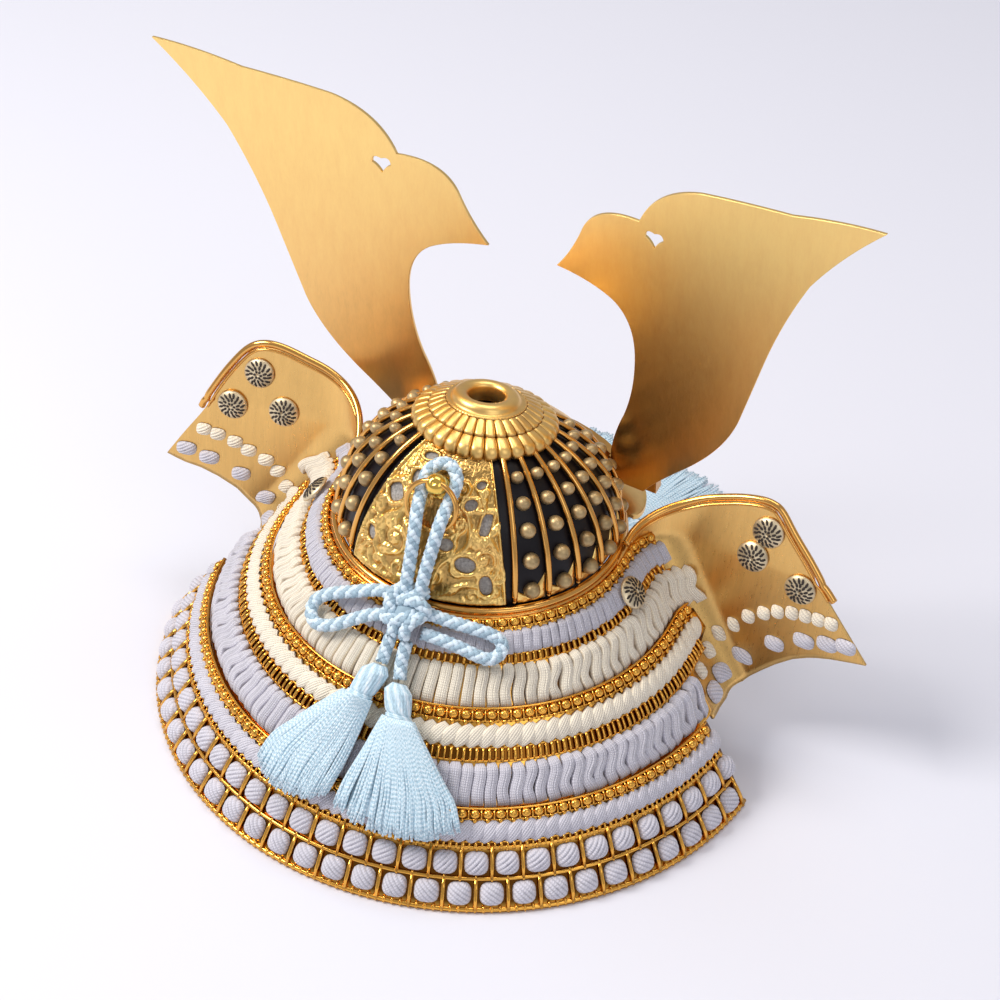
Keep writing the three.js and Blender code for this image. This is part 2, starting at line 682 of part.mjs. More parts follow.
for (const { name, sign } of sides) {
  add("fukigaeshi_" + name, flap(name, sign), GOLD);
  const path = FLAP_RIM[name].map(({ s, z }) => onFlap(sign, s, z, -FLAP_WALL / 2));
  add("fukurin_" + name, bar(path, 1.1, { sides: 5, steps: 20, bend: 0.4 }), DEEP_GOLD);
  FLAP_STUDS[name].forEach(({ s, z }, i) =>
    add(`stud_${name}_${i + 1}`, stud(flapRadius, sign * (90 + FOLD_START + s), z), STUD),
  );
  for (const row of FLAP_KNOTS[name]) add(`${row.name}_${name}`, knotStrip(sign, row), row.paint);
}

// Visor: hidden under the horns' holder, a plain plate that slopes forward from the rim.
const VISOR = { from: 120, to: 240, inner: 43.2, deep: 16, drop: 0.45, wall: 1.2, top: 61.2 };
function visor() {
  const rings = [];
  const steps = 12;
  for (let i = 0; i <= steps; i++) {
    const share = i / steps;
    const angle = rad(VISOR.from + (VISOR.to - VISOR.from) * share);
    const reach = 2 + VISOR.deep * Math.sin(share * Math.PI) ** 0.7;
    const at = (d, z) => {
      const r = VISOR.inner + d;
      return vec(r * Math.sin(angle), -r * Math.cos(angle), VISOR.top - VISOR.drop * d + z);
    };
    rings.push([at(0, 0), at(0.6 * reach, 0.8), at(reach, 0), at(reach, -VISOR.wall),
      at(0.6 * reach, 0.8 - VISOR.wall), at(0, -VISOR.wall)]);
  }
  return loft(rings);
}
add("mabizashi_visor", visor(), GOLD);

// Horns: flat plates in one plane, cut from a mirrored outline, each with a heart-shaped hole.
// Outline points are x across the helmet and z up; q marks the control point of a curve.
const HORN_OUTLINE = {
  start: { x: 101.4, z: 190 },
  curves: [
    { to: { x: 76.8, z: 185.8 }, q: { x: 90, z: 189.4 } },
    { to: { x: 52, z: 182.8 }, q: { x: 63, z: 184.6 } },
    { to: { x: 34.8, z: 166.6 }, q: { x: 39, z: 179.4 } },
    { to: { x: 17.6, z: 155.8 }, q: { x: 21, z: 167.4 } },
    { to: { x: 10.2, z: 140.6 }, q: { x: 14.6, z: 147.2 } },
    { to: { x: 27.4, z: 135.4 }, q: { x: 21, z: 139.6 } },
    { to: { x: 34.5, z: 117.6 }, q: { x: 34, z: 130.4 } },
    { to: { x: 31.4, z: 92.0 }, q: { x: 34.9, z: 104 } },
    { to: { x: 27.6, z: 76.0 }, q: { x: 28.6, z: 84 } },
    { to: { x: 28.2, z: 63.0 }, q: { x: 27.2, z: 69 } },
    { to: { x: 38.4, z: 63.0 }, q: { x: 33, z: 63.0 } },
    { to: { x: 49.6, z: 77.6 }, q: { x: 41, z: 67.6 } },
    { to: { x: 66.6, z: 106.4 }, q: { x: 62.6, z: 92 } },
    { to: { x: 72.4, z: 131 }, q: { x: 69.6, z: 119 } },
    { to: { x: 83.4, z: 165 }, q: { x: 76.6, z: 149 } },
    { to: { x: 101.4, z: 190 }, q: { x: 91, z: 178.6 } },
  ],
};
const HEART = { x: 39.4, z: 162.8, size: 2.6 };

function hornShape() {
  const shape = new THREE.Shape();
  shape.moveTo(HORN_OUTLINE.start.x, HORN_OUTLINE.start.z);
  for (const { to, q } of HORN_OUTLINE.curves) shape.quadraticCurveTo(q.x, q.z, to.x, to.z);
  const hole = new THREE.Path();
  const { x, z, size } = HEART;
  hole.moveTo(x - size, z - 0.2 * size);
  hole.quadraticCurveTo(x - size, z + size, x, z + 0.5 * size);
  hole.quadraticCurveTo(x + size, z + size, x + size, z - 0.2 * size);
  hole.quadraticCurveTo(x + 0.4 * size, z - 0.5 * size, x, z - 1.4 * size);
  hole.quadraticCurveTo(x - 0.4 * size, z - 0.5 * size, x - size, z - 0.2 * size);
  shape.holes.push(hole);
  return shape;
}
// Lays a flat x-z plate into the horns' plane: sign mirrors it, y0 shifts it forward.
function intoHornPlane(geometry, sign, y0) {
  const p = geometry.attributes.position;
  for (let i = 0; i < p.count; i++) {
    const [x, z, depth] = [p.getX(i), p.getY(i), p.getZ(i)];
    const y = HORN_PLANE.y + HORN_PLANE.perX * x + HORN_PLANE.perZ * (z - RIM_Z + 1.4);
    p.setXYZ(i, sign * x, y + y0 + depth, z);
  }
  return geometry;
}
for (const { name, sign } of sides) {
  const plate = new THREE.ExtrudeGeometry(hornShape(), {
    depth: HORN_WALL,
    bevelEnabled: false,
    curveSegments: 4,
  });
  add("kuwagata_" + name, intoHornPlane(plate, sign, -HORN_WALL / 2), GOLD);
}

// Horns' holder: a band in front of the bowl with a lug behind which each horn is fixed.
function holder() {
  const rings = [];
  for (let i = 0; i <= 10; i++) {
    const angle = rad(143 + (74 * i) / 10);
    const at = (r, z) => vec(r * Math.sin(angle), -r * Math.cos(angle), z);
    rings.push([at(43.4, 62.8), at(46, 62.8), at(46, 71), at(43.4, 71)]);
  }
  const lugs = sides.map(({ sign }) => {
    const lug = new THREE.BoxGeometry(15.6, 8.4, 4.4).translate(34.2, 67, 2.2);
    return intoHornPlane(lug, sign, HORN_WALL / 2 + GAP);
  });
  return join([loft(rings), ...lugs]);
}
add("kuwagata_dai", holder(), DEEP_GOLD);

// Cord with a bow at the back: a loop round the knob's stem, two bows and two tails.
// Points are angle, height and distance out from the skirt's lacing.
const overSkirt = ({ angle, z, out }) => skirtOut(coverRadius, angle, z, out);
const KNOB_LOOP = [
  { x: -2.4, height: 4.6, out: 5.8 }, { x: -2.2, height: 11, out: 5.2 },
  { x: -2.4, height: 20, out: 6.0 }, { x: -3.2, height: 24.2, out: 5.9 },
  { x: -4.3, height: 28.5, out: 4.1 }, { x: -4.4, height: 31.6, out: 4.1 },
  { x: -2.4, height: 33.4, out: 4.1 }, { x: 0, height: 33.9, out: 4.1 },
  { x: 2.4, height: 33.4, out: 4.1 }, { x: 4.4, height: 31.6, out: 4.1 },
  { x: 4.3, height: 28.5, out: 4.1 }, { x: 4.1, height: 24.2, out: 5.9 },
  { x: 3.8, height: 20, out: 6.0 }, { x: 2.6, height: 11, out: 5.2 },
  { x: 2.1, height: 4.6, out: 5.8 },
].map(({ x, height, out }) => onBowl(0, height, out).add(vec(x, 0, 0)));
add("cord_loop", bar(KNOB_LOOP, CORD_RADIUS, { steps: 20 }), SKY);

const BOW_LEFT = [
  { angle: -6.4, z: 63.8, out: 3.2 }, { angle: -11, z: 64, out: 2.6 },
  { angle: -16, z: 62.8, out: 2.4 }, { angle: -21.5, z: 60.8, out: 2.4 },
  { angle: -27.5, z: 58, out: 2.4 }, { angle: -31.4, z: 54.6, out: 2.4 },
  { angle: -30.4, z: 51.7, out: 2.4 }, { angle: -26.5, z: 50.7, out: 2.4 },
  { angle: -21.6, z: 52.6, out: 2.4 }, { angle: -16.6, z: 56, out: 2.4 },
  { angle: -11.5, z: 58.8, out: 2.6 }, { angle: -6.6, z: 60.2, out: 3.2 },
];
const BOW_RIGHT = [
  { angle: 6.4, z: 62.8, out: 3.2 }, { angle: 13, z: 62.3, out: 2.4 },
  { angle: 18.3, z: 61.8, out: 2.4 }, { angle: 23.7, z: 61.1, out: 2.4 },
  { angle: 28.3, z: 60.2, out: 2.4 }, { angle: 31.2, z: 58.4, out: 2.4 },
  { angle: 30.4, z: 56.4, out: 2.4 }, { angle: 27.4, z: 55.3, out: 2.4 },
  { angle: 23.6, z: 56, out: 2.4 }, { angle: 19, z: 57.3, out: 2.4 },
  { angle: 13.6, z: 58.3, out: 2.5 }, { angle: 6.8, z: 59, out: 3.2 },
];
const TAIL_LEFT = [
  { angle: -2.6, z: 56.6, out: 3.2 }, { angle: -2.8, z: 53.8, out: 2.6 },
  { angle: -2.8, z: 51.0, out: 2.6 },
];
const TAIL_RIGHT = [
  { angle: 2.6, z: 56.4, out: 3.2 }, { angle: 2.6, z: 52.4, out: 2.6 },
  { angle: 3.4, z: 48.9, out: 2.6 },
];
for (const [name, route, steps] of [
  ["cord_bow_left", BOW_LEFT, 16],
  ["cord_bow_right", BOW_RIGHT, 16],
  ["cord_tail_left", TAIL_LEFT, 3],
  ["cord_tail_right", TAIL_RIGHT, 4],
])
  add(name, bar(route.map(overSkirt), CORD_RADIUS, { steps }), SKY);

const KNOT_CENTRE = skirtOut(coverRadius, 0, 61.2, 4.4);
function bowKnot() {
  const lump = new THREE.SphereGeometry(1, 10, 6).scale(4.9, 4.2, 5.2);
  lump.rotateX(rad(-45));
  return lump.translate(KNOT_CENTRE.x, KNOT_CENTRE.y, KNOT_CENTRE.z);
}
const knot = bowKnot();

// Tassels: a wound head and a skirt of locks that fans out, given in rings along its length.
function tassel(place, rows, locks = 12) {
  const rings = rows.map((row, j) =>
    Array.from({ length: locks }, (_, k) => {
      const a = ((k + 0.25) / locks) * 2 * Math.PI;
      const lobe = row.lobed ? (k % 2 ? 0.84 : 1) : 1;
      return place(row, row.wide * lobe * Math.cos(a), row.thick * (1 + lobe * Math.sin(a)));
    }),
  );
  return loft(rings);
}
const TASSEL_ROWS = {
  left: [
    { angle: -2.8, z: 50.2, wide: 2.4, thick: 2.4 },
    { angle: -3.2, z: 48.6, wide: 3.8, thick: 3.4 },
    { angle: -4.6, z: 44.2, wide: 3.8, thick: 3.3 },
    { angle: -5.2, z: 42.8, wide: 4.2, thick: 3.4 },
    { angle: -8.2, z: 36.0, wide: 7.8, thick: 3.2, lobed: true },
    { angle: -11.4, z: 27.6, wide: 11.6, thick: 2.6, lobed: true },
    { angle: -12.8, z: 18.6, wide: 12.0, thick: 1.9, lobed: true },
  ],
  right: [
    { angle: 3.8, z: 47.8, wide: 2.4, thick: 2.4 },
    { angle: 4.2, z: 46.2, wide: 3.8, thick: 3.4 },
    { angle: 5.4, z: 42.2, wide: 3.8, thick: 3.3 },
    { angle: 6.0, z: 40.8, wide: 4.2, thick: 3.4 },
    { angle: 8.0, z: 33.6, wide: 9.6, thick: 3.2, lobed: true },
    { angle: 9.6, z: 26.0, wide: 15.6, thick: 2.6, lobed: true },
    { angle: 10.0, z: 18.4, wide: 19.0, thick: 1.9, lobed: true },
  ],
};
function skirtTassel(rows) {
  return tassel((row, x, y) => {
    const turn = THREE.MathUtils.radToDeg(x / coverRadius(row.z));
    return skirtOut(coverRadius, row.angle + turn, row.z, 0.4 + y);
  }, rows);
}

add("cord_knot", knot, SKY);
add("tassel_left", skirtTassel(TASSEL_ROWS.left), SKY);
add("tassel_right", skirtTassel(TASSEL_ROWS.right), SKY);

// Chin cords: each hangs from an eyelet inside the bowl's rim down to the surface, and runs forward
// to a tassel.
const CHIN_RADIUS = 2.0;
const CHIN_ROUTES = {
  right: [
    [30.4, 16.8, 69.5], [30.4, 16.8, 60], [30.5, 16.9, 45], [30.6, 17.0, 30], [30.6, 17.2, 17],
    [30.6, 19.2, 8.4], [30.4, 24.4, 3.4], [29.8, 32, 2.2], [27.4, 44, 2.2], [24.2, 56, 2.2],
    [21.2, 67, 2.3], [19.4, 74, 2.6],
  ],
  left: [
    [-30.4, 16.8, 69.5], [-30.4, 16.8, 60], [-30.5, 16.9, 45], [-30.6, 17.0, 30],
    [-30.6, 17.2, 17], [-30.6, 19.2, 8.4], [-30.6, 24.4, 3.4], [-30.4, 33, 2.2],
    [-28.8, 47, 2.2], [-25.0, 61, 2.2], [-19.6, 74, 2.3], [-14.6, 82, 2.6],
  ],
};
const EYELET = { z: 66, radius: 2.9, wire: 0.5 };
const CHIN_TASSELS = {
  right: { from: vec(19.7, 76.2, 0), to: vec(32.5, 121, 0) },
  left: { from: vec(-13.9, 83.6, 0), to: vec(0.5, 128, 0) },
};
const CHIN_ROWS = [
  { at: 0, wide: 2.4, thick: 2.3 },
  { at: 0.05, wide: 3.7, thick: 3.5 },
  { at: 0.16, wide: 3.5, thick: 3.4 },
  { at: 0.19, wide: 4.2, thick: 3.6 },
  { at: 0.42, wide: 8.4, thick: 3.2, lobed: true },
  { at: 0.72, wide: 12.6, thick: 2.4, lobed: true },
  { at: 1, wide: 15.4, thick: 1.4, lobed: true },
];
for (const { name } of sides) {
  const route = CHIN_ROUTES[name].map(([x, y, z]) => vec(x, y, z));
  add("chin_cord_" + name, bar(route, CHIN_RADIUS, { steps: 20 }), SKY);
  const eyelet = new THREE.TorusGeometry(EYELET.radius, EYELET.wire, 5, 12);
  add("chin_eyelet_" + name, eyelet.translate(route[0].x, route[0].y, EYELET.z), DEEP_GOLD);
  const { from, to } = CHIN_TASSELS[name];
  const along = to.clone().sub(from);
  const across = vec(along.y, -along.x, 0).normalize();
  const place = (row, x, y) =>
    from
      .clone()
      .addScaledVector(along, row.at)
      .addScaledVector(across, x)
      .add(vec(0, 0, y + 0.02));
  add("chin_tassel_" + name, tassel(place, CHIN_ROWS), SKY);
}

// The small studs on the lacing beside the bowl.
for (const { name, sign } of sides)
  add("stud_side_" + name, stud(coverRadius, sign * 83.6, 57.6), STUD);

// The origin is below the middle of the helmet itself, on the surface that it stands on.
const LOOSE = /^(chin_|cord_|tassel_)/;
const box = new THREE.Box3();
helmet.traverse((o) => {
  if (o.isMesh && !LOOSE.test(o.name)) box.expandByObject(o);
});
helmet.position.set(-(box.min.x + box.max.x) / 2, -(box.min.y + box.max.y) / 2, 0);

export default helmet;
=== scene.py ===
"""Dresses the kabuto: braids, lacing, beads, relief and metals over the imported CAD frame."""

import math

import bmesh
import bpy
import numpy as np
from mathutils import Matrix, Vector


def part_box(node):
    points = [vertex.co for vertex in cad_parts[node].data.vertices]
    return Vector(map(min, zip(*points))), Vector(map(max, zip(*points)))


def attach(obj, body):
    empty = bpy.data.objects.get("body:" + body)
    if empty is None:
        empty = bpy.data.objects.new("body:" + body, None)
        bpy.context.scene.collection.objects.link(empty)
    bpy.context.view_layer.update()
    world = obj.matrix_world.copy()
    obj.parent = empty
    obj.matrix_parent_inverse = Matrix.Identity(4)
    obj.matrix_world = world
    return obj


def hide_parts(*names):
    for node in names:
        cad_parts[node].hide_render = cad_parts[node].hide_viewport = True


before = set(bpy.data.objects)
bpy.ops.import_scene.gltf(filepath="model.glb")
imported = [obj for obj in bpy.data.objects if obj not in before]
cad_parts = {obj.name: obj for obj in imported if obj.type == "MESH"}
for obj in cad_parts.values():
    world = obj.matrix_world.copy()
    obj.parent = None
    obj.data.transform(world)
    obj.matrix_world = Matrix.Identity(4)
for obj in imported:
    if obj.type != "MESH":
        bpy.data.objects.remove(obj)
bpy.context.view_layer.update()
MM = 0.001


def centre_of(node):
    """Middle of a CAD node's box, in metres."""
    low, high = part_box(node)
    return [(a + b) / 2 for a, b in zip(low, high)]


# The helmet's axis runs up through its crown. Geometry below is in millimetres about it.
CROWN = centre_of("tehen_finial")
AXIS = np.array([CROWN[0], CROWN[1], 0.0])

# ---- dimensions, as in the CAD model ------------------------------------------------------
BOWL_RADIUS = 40.0
BOWL_HEIGHT = 41.5
RIM_Z = 63.0
CROWN_HOLE = 5.2
RIB_FIRST = 37.5
RIB_STEP = 14.25
RIB_COLUMNS = 7
# (height above the rim, radius)
RIVET_ROWS = [(5.2, 2.4), (14.0, 2.4), (21.8, 2.3), (27.9, 2.1), (33.0, 1.85)]
# (radius, z) down each lame, and down the outside of the lacing
LAME_LINES = [
    [(43.4, 61.4), (60.6, 40.6)],
    [(61.4, 42.6), (65.96, 37), (67.75, 34.8), (69.86, 32.2), (78.0, 22.2)],
    [(79.0, 24.2), (86.2, 13.4), (94.6, 0.0)],
]
COVER_LINE = [(43.4, 64.6), (47.2, 61), (63.9, 42), (81.4, 24), (96.5, 0)]
# (z, angle at which the lame ends there)
LAME_ENDS = [
    [(0, 87), (70, 87)],
    [(22.2, 87.4), (32.2, 89.4), (34.8, 99.5), (37, 103.2), (42.6, 103.2)],
    [(0, 82), (30, 82)],
]
LEAN = 0.17
FOLD_START = 6.7
# degrees that the left and the right plate turn back
FOLD_ANGLES = (99.6, 94.9)
FOLD_RADIUS = 14.1
FOLD_FLARE = 0.17
FLAP_WALL = 0.9
FLAP_KNEE = 61.4
SIDES = (("left", -1), ("right", 1))

# ---- camera -------------------------------------------------------------------------------
CAMERA = {
    "azimuth": 21.314,
    "elevation": 39.257,
    "roll": 3.832,
    "distance": 656.68,
    "right": 6.687,
    "up": 6.398,
    "aim": (0.0, -1.8, 61.6),
    "lens": 82.04,
}


def add_camera():
    a = math.radians(CAMERA["azimuth"])
    e = math.radians(CAMERA["elevation"])
    roll = math.radians(CAMERA["roll"])
    back = np.array([math.sin(a) * math.cos(e), -math.cos(a) * math.cos(e), math.sin(e)])
    level = np.array([math.cos(a), math.sin(a), 0.0])
    rise = np.cross(back, level)
    right = math.cos(roll) * level + math.sin(roll) * rise
    up = math.cos(roll) * rise - math.sin(roll) * level
    spot = np.array(CAMERA["aim"]) + CAMERA["distance"] * back
    spot += CAMERA["right"] * right + CAMERA["up"] * up
    spot = spot * MM + AXIS
    data = bpy.data.cameras.new("camera")
    data.lens = CAMERA["lens"]
    data.sensor_width = 36
    data.clip_start = 0.01
    camera = bpy.data.objects.new("camera", data)
    bpy.context.scene.collection.objects.link(camera)
    matrix = np.eye(4)
    matrix[:3, 0] = right
    matrix[:3, 1] = up
    matrix[:3, 2] = back
    matrix[:3, 3] = spot
    camera.matrix_world = Matrix(matrix.tolist())
    bpy.context.scene.camera = camera


# ---- materials ----------------------------------------------------------------------------
LACE_RIBS = 6.0
LACE_STITCH = 0.7


class Shader:
    """A Principled material built node by node."""

    def __init__(self, name, color, roughness, metallic=0.0, **sockets):
        self.material = bpy.data.materials.new(name)
        self.material.use_nodes = True
        self.tree = self.material.node_tree
        self.shader = self.tree.nodes["Principled BSDF"]
        self.set(self.shader, "Base Color", (*color, 1.0))
        self.set(self.shader, "Roughness", roughness)
        self.set(self.shader, "Metallic", metallic)
        for socket, value in sockets.items():
            self.set(self.shader, socket.replace("_", " "), value)
        self.material.diffuse_color = (*color, 1.0)

    def set(self, node, socket, value):
        node.inputs[socket].default_value = value

    def add(self, kind, **settings):
        node = self.tree.nodes.new(kind)
        for key, value in settings.items():
            setattr(node, key, value)
        return node

    def link(self, source, target):
        self.tree.links.new(source, target)

    def coordinates(self, scale, uv=False, turn=(0, 0, 0)):
        """Texture coordinates times a scale: of the object in metres, or of its UV map."""
        where = self.add("ShaderNodeTexCoord")
        mapping = self.add("ShaderNodeMapping")
        self.set(mapping, "Scale", scale)
        self.set(mapping, "Rotation", turn)
        self.link(where.outputs["UV" if uv else "Object"], mapping.inputs["Vector"])
        return mapping.outputs["Vector"]

    def noise(self, vector, scale=1.0, detail=3.0, rough=0.55):
        node = self.add("ShaderNodeTexNoise")
        self.set(node, "Scale", scale)
        self.set(node, "Detail", detail)
        self.set(node, "Roughness", rough)
        self.link(vector, node.inputs["Vector"])
        return node.outputs["Fac"]

    def grain(self, per_metre, scale=1.0, detail=3, rough=0.55):
        """Noise in the object's own space, with about so many grains in a metre."""
        return self.noise(self.coordinates((per_metre,) * 3), scale, detail, rough)

    def wave(self, vector, scale, distortion):
        node = self.add("ShaderNodeTexWave", bands_direction="DIAGONAL")
        self.set(node, "Scale", scale)
        self.set(node, "Distortion", distortion)
        self.link(vector, node.inputs["Vector"])
        return node.outputs["Fac"]

    def math(self, operation, a, b=None):
        node = self.add("ShaderNodeMath", operation=operation)
        for value, socket in ((a, node.inputs[0]), (b, node.inputs[1])):
            if isinstance(value, (int, float)):
                socket.default_value = value
            elif value is not None:
                self.link(value, socket)
        return node.outputs[0]

    def ramp(self, source, stops):
        node = self.add("ShaderNodeValToRGB")
        elements = node.color_ramp.elements
        while len(elements) < len(stops):
            elements.new(0.5)
        for element, (place, color) in zip(elements, stops):
            element.position = place
            element.color = (*color, 1.0)
        self.link(source, node.inputs["Fac"])
        return node.outputs["Color"]

    def span(self, source, low, high):
        """Maps 0 to 1 onto low to high."""
        node = self.add("ShaderNodeMapRange")
        self.set(node, "To Min", low)
        self.set(node, "To Max", high)
        self.link(source, node.inputs["Value"])
        return node.outputs["Result"]

    def paint(self, color):
        self.link(color, self.shader.inputs["Base Color"])

    def roughen(self, value):
        self.link(value, self.shader.inputs["Roughness"])

    def wear(self, source, rough, strength, distance):
        """Roughness and relief from the same noise."""
        self.roughen(self.span(source, *rough))
        self.bump(source, strength, distance)

    def bump(self, height, strength, distance):
        node = self.add("ShaderNodeBump")
        self.set(node, "Strength", strength)
        self.set(node, "Distance", distance * MM)
        self.link(height, node.inputs["Height"])
        self.link(node.outputs["Normal"], self.shader.inputs["Normal"])


def shades(color, *stops):
    """Stops of a ramp from pairs of a place and how bright the colour is there."""
    return [(place, tuple(min(1.0, c * k) for c in color)) for place, k in stops]


def brushed_gold(name, color, rough, turn=(0, 0, 0)):
    """Flat plate with long fine scratches, and painted shade and light by height: darker towards its foot,
    lighter higher up.
    """
    s = Shader(name, color, rough, 1.0, Anisotropic=0.35)
    lines = s.noise(s.coordinates((1900, 1900, 36), turn=turn), 1.0, 4, 0.7)
    broad = s.noise(s.coordinates((420, 420, 14), turn=turn), 1.0, 3, 0.6)
    # Painted shade and light: the colour runs from dark at the plate's foot to bright higher up, by height
    # in the object's space, mixed with random tone from the noise.
    split = s.add("ShaderNodeSeparateXYZ")
    s.link(s.coordinates((1, 1, 1)), split.inputs[0])
    rise = s.add("ShaderNodeMapRange")
    for socket, value in (("From Min", 0.05), ("From Max", 0.17), ("To Min", 0.0), ("To Max", 0.5)):
        s.set(rise, socket, value)
    s.link(split.outputs[2], rise.inputs["Value"])
    tone = s.math("ADD", rise.outputs["Result"], s.math("MULTIPLY", broad, 0.3))
    tone = s.math("ADD", tone, s.math("MULTIPLY", lines, 0.3))
    s.paint(s.ramp(tone, shades(color, (0.2, 0.72), (0.55, 0.95), (0.85, 1.14))))
    s.wear(lines, (rough - 0.07, rough + 0.12), 0.4, 0.06)
    return s.material


def cast_gold(name, color, rough, grain=2.0, strength=0.35):
    """Gold with a fine uneven grain, and painted shade: dark brown in its hollows where the mesh says so.
    """
    s = Shader(name, color, rough, 1.0)
    cavity_shade = s.add("ShaderNodeAttribute", attribute_name="cavity_shade")
    fine = s.grain(1000, grain, 4, 0.6)
    wide = s.grain(120)
    tone = s.ramp(wide, shades(color, (0.3, 0.86), (0.7, 1.1)))
    # Painted shade: the colour is mixed towards a dark brown where the mesh marks a hollow.
    dark = s.add("ShaderNodeMix", data_type="RGBA", blend_type="MIX")
    s.link(cavity_shade.outputs["Fac"], dark.inputs["Factor"])
    s.link(tone, dark.inputs[6])
    dark.inputs[7].default_value = (color[0] * 0.16, color[1] * 0.09, color[2] * 0.05, 1)
    s.paint(dark.outputs[2])
    s.wear(fine, (rough - 0.05, rough + 0.12), strength, 0.06)
    return s.material


def polished_gold(name, color, rough):
    s = Shader(name, color, rough, 1.0)
    s.wear(s.grain(500), (rough - 0.04, rough + 0.1), 0.08, 0.08)
    return s.material


def lacquer(name, color):
    s = Shader(name, color, 0.36, 0.0, Specular_IOR_Level=0.25)
    s.wear(s.grain(900), (0.28, 0.5), 0.12, 0.05)
    return s.material


def rivet_metal(name, color):
    s = Shader(name, color, 0.42, 0.75)
    fine = s.grain(1600, 1.0, 5, 0.7)
    cloud = s.grain(260, 1.0, 2)
    s.paint(s.ramp(cloud, shades(color, (0.3, 0.72), (0.75, 1.3))))
    s.wear(fine, (0.32, 0.55), 0.3, 0.05)
    return s.material


def flat_braid(name, color):
    """Lacing: fine ribs along each strand, made of small slanted stitches, with painted shade in the
    grooves between the ribs and painted highlight on their tops.
    """
    s = Shader(name, color, 0.86, 0.0, Sheen_Weight=0.35, Sheen_Roughness=0.5)
    uv = s.coordinates((1, 1, 1), uv=True)
    split = s.add("ShaderNodeSeparateXYZ")
    s.link(uv, split.inputs[0])
    across = s.math("MULTIPLY", split.outputs[0], LACE_RIBS * 2 * math.pi)
    rib = s.math("ABSOLUTE", s.math("SINE", s.math("MULTIPLY", across, 0.5)))
    slant = s.math("MULTIPLY", rib, 1.2)
    along = s.math("MULTIPLY", split.outputs[1], 2 * math.pi / LACE_STITCH)
    stitch_wave = s.math("SINE", s.math("ADD", along, slant))
    lift = s.math("MULTIPLY", rib, s.math("ADD", s.math("MULTIPLY", stitch_wave, 0.3), 0.7))
    fuzz = s.grain(1000, 3.2, 4, 0.7)
    height = s.math("ADD", lift, s.math("MULTIPLY", fuzz, 0.35))
    cloud = s.grain(160)
    # Painted shade and highlight: darker in the grooves between the ribs and lighter on their tops, mixed
    # with a random cloud of tone.
    mixed = s.math("ADD", s.math("MULTIPLY", lift, 0.6), s.math("MULTIPLY", cloud, 0.4))
    s.paint(s.ramp(mixed, shades(color, (0.05, 0.55), (0.4, 0.95), (0.85, 1.12))))
    s.bump(height, 0.9, 0.22)
    return s.material


def silk(name, color):
    """Fringe threads: each has its own tone, stored in its UV, and fine twist lines."""
    s = Shader(name, color, 0.6, 0.0, Sheen_Weight=0.3, Sheen_Roughness=0.4)
    uv = s.coordinates((1, 1, 1), uv=True)
    tone = s.noise(uv, 7.0, 2)
    twist = s.wave(s.coordinates((0.4, 1.0, 1.0), uv=True), 0.5, 0.6)
    mixed = s.math("ADD", s.math("MULTIPLY", tone, 0.8), s.math("MULTIPLY", twist, 0.2))
    pale = [(0.6, (0.74, 0.84, 0.91)), (0.75, (0.9, 0.94, 0.97))]
    s.paint(s.ramp(mixed, shades(color, (0.28, 0.6), (0.5, 1)) + pale))
    s.bump(twist, 0.5, 0.08)
    return s.material


def braid_cord(name, color):
    """Yarn of a round braid: every other strand is nearly white."""
    s = Shader(name, color, 0.78, 0.0, Sheen_Weight=0.4, Sheen_Roughness=0.4)
    uv = s.coordinates((1, 1, 1), uv=True)
    split = s.add("ShaderNodeSeparateXYZ")
    s.link(uv, split.inputs[0])
    strand = s.math("FLOOR", s.math("DIVIDE", split.outputs[0], 3.0))
    every_other = s.math("MODULO", strand, 2.0)
    twist = s.wave(uv, 1.6, 1.5)
    cloud = s.grain(420)
    grain = s.math("ADD", s.math("MULTIPLY", twist, 0.3), s.math("MULTIPLY", cloud, 0.4))
    mixed = s.math("ADD", s.math("MULTIPLY", every_other, 0.42), s.math("MULTIPLY", grain, 0.75))
    pale = [(0.62, (0.64, 0.78, 0.88)), (0.9, (0.84, 0.9, 0.95))]
    s.paint(s.ramp(mixed, shades(color, (0.15, 0.62), (0.45, 0.94)) + pale))
    s.bump(twist, 0.45, 0.08)
    return s.material


GOLD = (0.97, 0.61, 0.22)
LAVENDER = (0.64, 0.62, 0.69)
CREAM = (0.93, 0.83, 0.68)
SKY = (0.5, 0.68, 0.81)

horn_gold = brushed_gold("horn_gold", GOLD, 0.3, (0.0, 0.35, 0.0))
plate_gold = brushed_gold("plate_gold", (0.97, 0.6, 0.2), 0.27, (0.0, 1.2, 0.3))
wire_gold = polished_gold("wire_gold", (0.8, 0.42, 0.11), 0.16)
# bead_gold is a darker, deeper amber gold than the others: partly its own colour and partly painted dark
# reflection, as if it mirrored dark surroundings.
bead_gold = cast_gold("bead_gold", (0.87, 0.45, 0.08), 0.15, 1.6, 0.12)
cast_yellow = cast_gold("cast_yellow", (1.0, 0.62, 0.2), 0.26, 1.5, 0.5)
matt_gold = cast_gold("matt_gold", (0.97, 0.6, 0.2), 0.33, 2.2, 0.3)
black_ground = lacquer("black_ground", (0.006, 0.004, 0.006))
beige_metal = rivet_metal("beige_metal", (0.5, 0.36, 0.18))
disc_metal = rivet_metal("disc_metal", (0.72, 0.6, 0.4))
cream_lacing = flat_braid("cream_lacing", CREAM)
lavender_lacing = flat_braid("lavender_lacing", LAVENDER)
blue_braid = braid_cord("blue_braid", SKY)
blue_silk = silk("blue_silk", (0.52, 0.72, 0.84))


# ---- mesh helpers -------------------------------------------------------------------------
def unit(vectors):
    return vectors / np.linalg.norm(vectors, axis=-1, keepdims=True)


def directions(path):
    return unit(np.gradient(path, axis=0))


def run_along(path):
    """How far along a line each of its points is."""
    return np.concatenate([[0], np.cumsum(np.linalg.norm(np.diff(path, axis=0), axis=1))])


def full_turn(count):
    return np.linspace(0, 2 * math.pi, count, endpoint=False)


def arrays(*values):
    return np.broadcast_arrays(*(np.asarray(v, float) for v in values))


